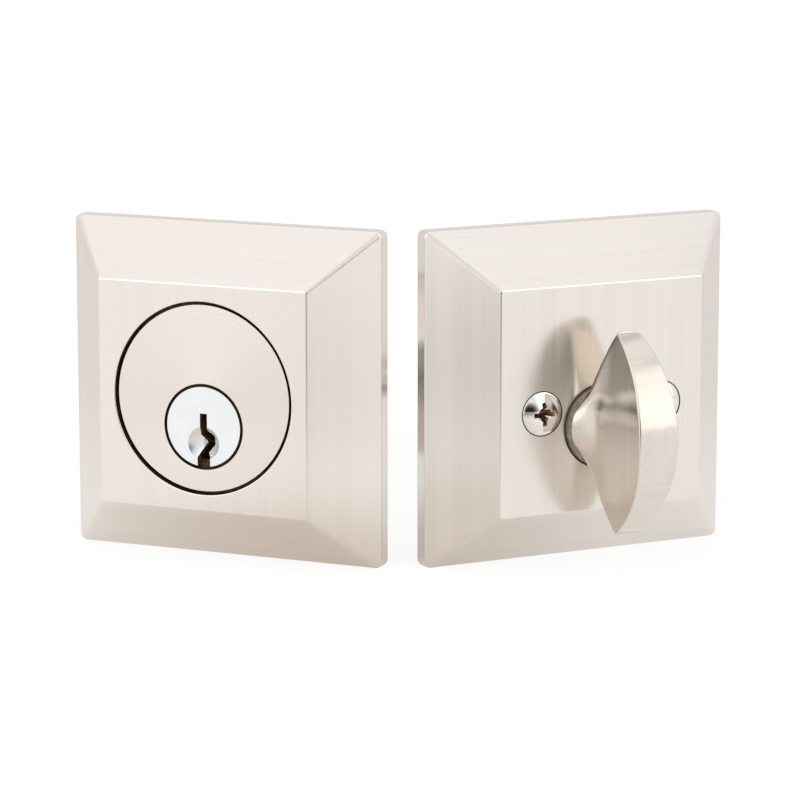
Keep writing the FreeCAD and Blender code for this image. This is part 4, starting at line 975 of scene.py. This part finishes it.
latch_low, latch_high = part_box("latch_front")
latch_width, latch_height = latch_high.x - latch_low.x, latch_high.z - latch_low.z
latch_middle = Vector(((latch_low.x + latch_high.x) / 2, latch_high.y, (latch_low.z + latch_high.z) / 2))
latch_place = Matrix.Translation(latch_middle) @ Matrix.Rotation(math.pi, 4, "Z")
strike_low, strike_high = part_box("strike_plate")
strike_place = (Matrix.Translation(((strike_low.x + strike_high.x) / 2, (strike_low.y + strike_high.y) / 2,
                                    strike_high.z)) @ Matrix.Rotation(math.radians(-90), 4, "X"))
plate_thick = 2.4 * mm
plate_corner = 3.2 * mm
plate_hole = 2.3 * mm
plate_countersink = 4.3 * mm
latch_screw_half = 20.65 * mm
strike_screw_half = 28.6 * mm


def rounded_plate(width, height, front, thick, corner):
    """A plate with rounded corners, whose front lies at the front distance."""
    plate = added(bpy.ops.mesh.primitive_plane_add, size=1.0, location=(0, -front, 0),
                  rotation=facing_front)
    choose(plate, "VERT", lambda vertex: True)
    bpy.ops.transform.resize(value=(width, 1, height), center_override=(0, -front, 0))
    bpy.ops.mesh.bevel(offset=corner, segments=8, affect="VERTICES")
    bpy.ops.mesh.select_all(action="SELECT")
    bpy.ops.mesh.extrude_region_move(TRANSFORM_OT_translate={"value": (0, thick, 0)})
    face_outwards()
    return plate


def ease_front_rims(plate, width):
    """Take the sharp edge off the openings in the front of a plate whose own edges are eased."""
    choose(plate, "EDGE", lambda edge: all(abs(end.co.y) < 1e-6 for end in edge.verts)
           and edge.calc_face_angle(0) > math.radians(40))
    bpy.ops.mesh.bevel(offset=width, segments=2, clamp_overlap=True)
    leave()
    smooth(plate, 30)


def striped_metal(name, pale, deep, rough, grain, stretch, metallic=1.0):
    """Plated metal that was brushed or rolled: pale streaks along its grain, or clouds without one.

    The streaks are 0.4 mm wide, coarser than real brushing so that they show.
    """
    finish, tree, spot = blank_finish(name, Metallic=metallic)
    drawn = add_node(tree, "Mapping", {"Scale": stretch}, Vector=spot)
    cloud = add_node(tree, "TexNoise", {"Scale": grain, "Detail": 5.0}, Vector=drawn.outputs[0])
    add_node(tree, "ValToRGB", {"stops": ((0.35, deep), (0.65, pale))}, "Base Color",
             i0=cloud.outputs["Fac"])
    add_node(tree, "MapRange", {"From Min": 0.35, "From Max": 0.65, "To Min": rough - 0.05,
                                "To Max": rough + 0.07}, "Roughness", i0=cloud.outputs["Fac"])
    add_node(tree, "Bump", {"Strength": 0.08, "Distance": 0.00002}, "Normal",
             Height=cloud.outputs["Fac"])
    return finish


along_x = striped_metal("satin_nickel_brushed_across", "#EDE6DD", "#DCD3C8", 0.26, 2400, (0.01, 1, 1))
along_y = striped_metal("satin_nickel_brushed_lengthwise", "#EDE6DD", "#DCD3C8", 0.26, 2400, (1, 0.01, 1))
zinc_sheet = striped_metal("zinc_plated_steel", "#CDD1D4", "#A7ACB1", 0.32, 420, (1, 1, 1))

bolt_low, bolt_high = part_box("dead_bolt")


def bolt_opening():
    """The outline of the bolt with its clearance: a round bar with two flats."""
    opening = round_bar(10.7 * mm, 0.01, 0.03, vertices=96)
    flats = block(bolt_high.x - bolt_low.x + 0.2 * mm, 0.08, bolt_high.z - bolt_low.z + 0.2 * mm, (0, 0, 0))
    cut(opening, flats, operation="INTERSECT")
    return opening


def countersunk(plate, **spot):
    cut(plate, round_bar(plate_hole, 0.01, 0.03, **spot),
        round_bar(plate_countersink + 0.02 * mm, 0.02 * mm, plate_thick, rear_radius=plate_hole, **spot))


latch_plate = rounded_plate(latch_width, latch_height, 0, plate_thick, plate_corner)
backing = rounded_plate(latch_width, latch_height, -plate_thick, 1.6 * mm, plate_corner)
ease(latch_plate, 0.35 * mm, 3, 40)
ease(backing, 0.15 * mm, 3, 40)
cut(latch_plate, bolt_opening())
cut(backing, bolt_opening())
for side in (-1, 1):
    spot = dict(across=side * latch_screw_half, vertices=48)
    countersunk(latch_plate, **spot)
    cut(backing, round_bar(plate_hole, 0.01, 0.03, **spot))
ease_front_rims(latch_plate, 0.12 * mm)
smooth(backing, 30)
latch_plate.data.materials.append(along_x)
backing.data.materials.append(zinc_sheet)
settle(latch_plate, "countersunk_latch_front", latch_place, "lock_set", "satin_nickel_rose", "latch_front")
settle(backing, "latch_backing_plate", latch_place, "lock_set", "zinc_steel", "latch_backing")

strike = rounded_plate(strike_high.x - strike_low.x, strike_high.y - strike_low.y, 0,
                       plate_thick, plate_corner)
mouth = rounded_plate(18.5 * mm, 24.0 * mm, 5 * mm, 10 * mm, 1.2 * mm)
ease(strike, 0.35 * mm, 3, 40)
cut(strike, mouth)
for side in (-1, 1):
    countersunk(strike, height=side * strike_screw_half, vertices=48)
ease_front_rims(strike, 0.2 * mm)
strike.data.materials.append(along_y)
settle(strike, "countersunk_strike_plate", strike_place, "lock_set", "satin_nickel_rose", "strike_plate")

# ------------------------------------------------------------------ wood screws
# Four number 8 wood screws with flat heads, cross recesses and sharp points, two for the
# latch and two for the strike, rolled in steel and plated bright.

wood_length = 19.0 * mm
wood_taper = wood_length * 0.75


def model_wood_screw():
    """The screw upright on Z, the flat top of its head at Z = 0."""
    core = 1.45 * mm
    head = lathe([(0, 0), (4.25 * mm, 0), (4.22 * mm, -0.15 * mm), (core, -2.4 * mm), (core, -wood_taper),
                  (0.04 * mm, -wood_length + 0.05 * mm), (0, -wood_length)], 64)
    cut(head, cross_cutter(4.6 * mm, 1.15 * mm, 2.2 * mm))
    ease(head, 0.08 * mm, 2, 40)
    winding = thread(2.03 * mm, core, 1.6 * mm, wood_length - 6.2 * mm, -4.0 * mm)
    for vertex in winding.data.vertices:
        if vertex.co.z < -wood_taper:
            thin = max(0.05, (wood_length + vertex.co.z) / (wood_length - wood_taper))
            vertex.co.x *= thin
            vertex.co.y *= thin
    return joined(head, winding)


wood_screw = model_wood_screw()
smooth(wood_screw, 35)
bright_steel = striped_metal("bright_zinc_screw", "#E4E3E0", "#C6C4BF", 0.16, 900, (1, 1, 1))
# The wood screws' recesses get the same painted shade.
paint_hidden(wood_screw, bright_steel, recess_shadow, lambda face: (
    min(abs(face.center.x), abs(face.center.y)) < 0.62 * mm
    and math.hypot(face.center.x, face.center.y) < 2.35 * mm
    and -2.2 * mm < face.center.z < -0.02 * mm))
set_screws(wood_screw, "latch_wood_screws", "latch_screws", Matrix(), *(
    screw_place(latch_place, (side * latch_screw_half, 0, 0), turn)
    for side, turn in ((-1, 12), (1, 40))))
set_screws(wood_screw, "strike_wood_screws", "strike_screws", Matrix(), *(
    screw_place(strike_place, (0, 0, side * strike_screw_half), turn)
    for side, turn in ((-1, -15), (1, 30))))
bpy.data.objects.remove(wood_screw)

# ------------------------------------------------------------------ carried-over metal
# The pieces behind the roses and in the latch: stampings, turned brass, drawn wire and
# moulded plastic, used as they come from the press, the lathe, the drawing die or the mould.


def plain_metal(name, pale, deep, rough, grain, metallic=1.0):
    """A stamped, drawn or moulded piece: one colour and gloss, clouded by its making.

    The clouds are 0.7 to 2 mm across, coarser than the real marks so that they show.
    """
    finish, tree, spot = blank_finish(name, Metallic=metallic)
    cloud = add_node(tree, "TexNoise", {"Scale": grain, "Detail": 5.0}, Vector=spot)
    add_node(tree, "ValToRGB", {"stops": ((0.35, deep), (0.65, pale))}, "Base Color",
             i0=cloud.outputs["Fac"])
    add_node(tree, "MapRange", {"From Min": 0.35, "From Max": 0.65, "To Min": rough - 0.06,
                                "To Max": rough + 0.08}, "Roughness", i0=cloud.outputs["Fac"])
    return finish


# satin nickel: the pale warm metal of the roses, without a grain on these small pieces
satin = plain_metal("satin_nickel_plate", "#EDE5DB", "#DFD6CB", 0.30, 700)
# bright nickel: a near mirror
bright = plain_metal("bright_nickel_screw", "#EEEDEA", "#DAD6CF", 0.10, 900)
# zinc plate: a cool grey with the 2 mm spangle of the plating bath
zinc = plain_metal("zinc_plated_steel", "#C9CDD0", "#A9AEB3", 0.34, 450)
# drawn wire: a plain grey with a tight shine
spring = plain_metal("drawn_spring_steel", "#B9BABA", "#8E8E8C", 0.26, 1500)
# machined brass: yellow and bright
brass = plain_metal("machined_brass", "#D8BC7C", "#BC9A58", 0.24, 1200)
# hardened steel: dark from the heat treatment
hard = plain_metal("hardened_steel", "#6E6C6A", "#45423F", 0.36, 600)
# acetal: milky and waxy, no metal
nylon = plain_metal("acetal_bushing", "#C9C6C0", "#BDB9B2", 0.42, 800, 0.0)
# moulded plastic: nearly black, with the dull bloom of the mould
box = plain_metal("moulded_black_plastic", "#2A2A2B", "#1D1D1E", 0.5, 900, 0.0)
finishes = {"satin_nickel_rose": satin, "satin_nickel_turn": satin, "satin_nickel_cylinder": satin,
            "polished_plug": bright, "polished_screw": bright, "brass_pin": brass, "zinc_steel": zinc,
            "spring_steel": spring, "hardened_steel": hard, "bushing_nylon": nylon, "box_plastic": box}
slots = {entry["node"]: entry["material_slot"] for entry in record["subparts"]}
for name, thing in frame["nodes"].items():
    thing.data.materials.clear()
    thing.data.materials.append(finishes[slots[name]])
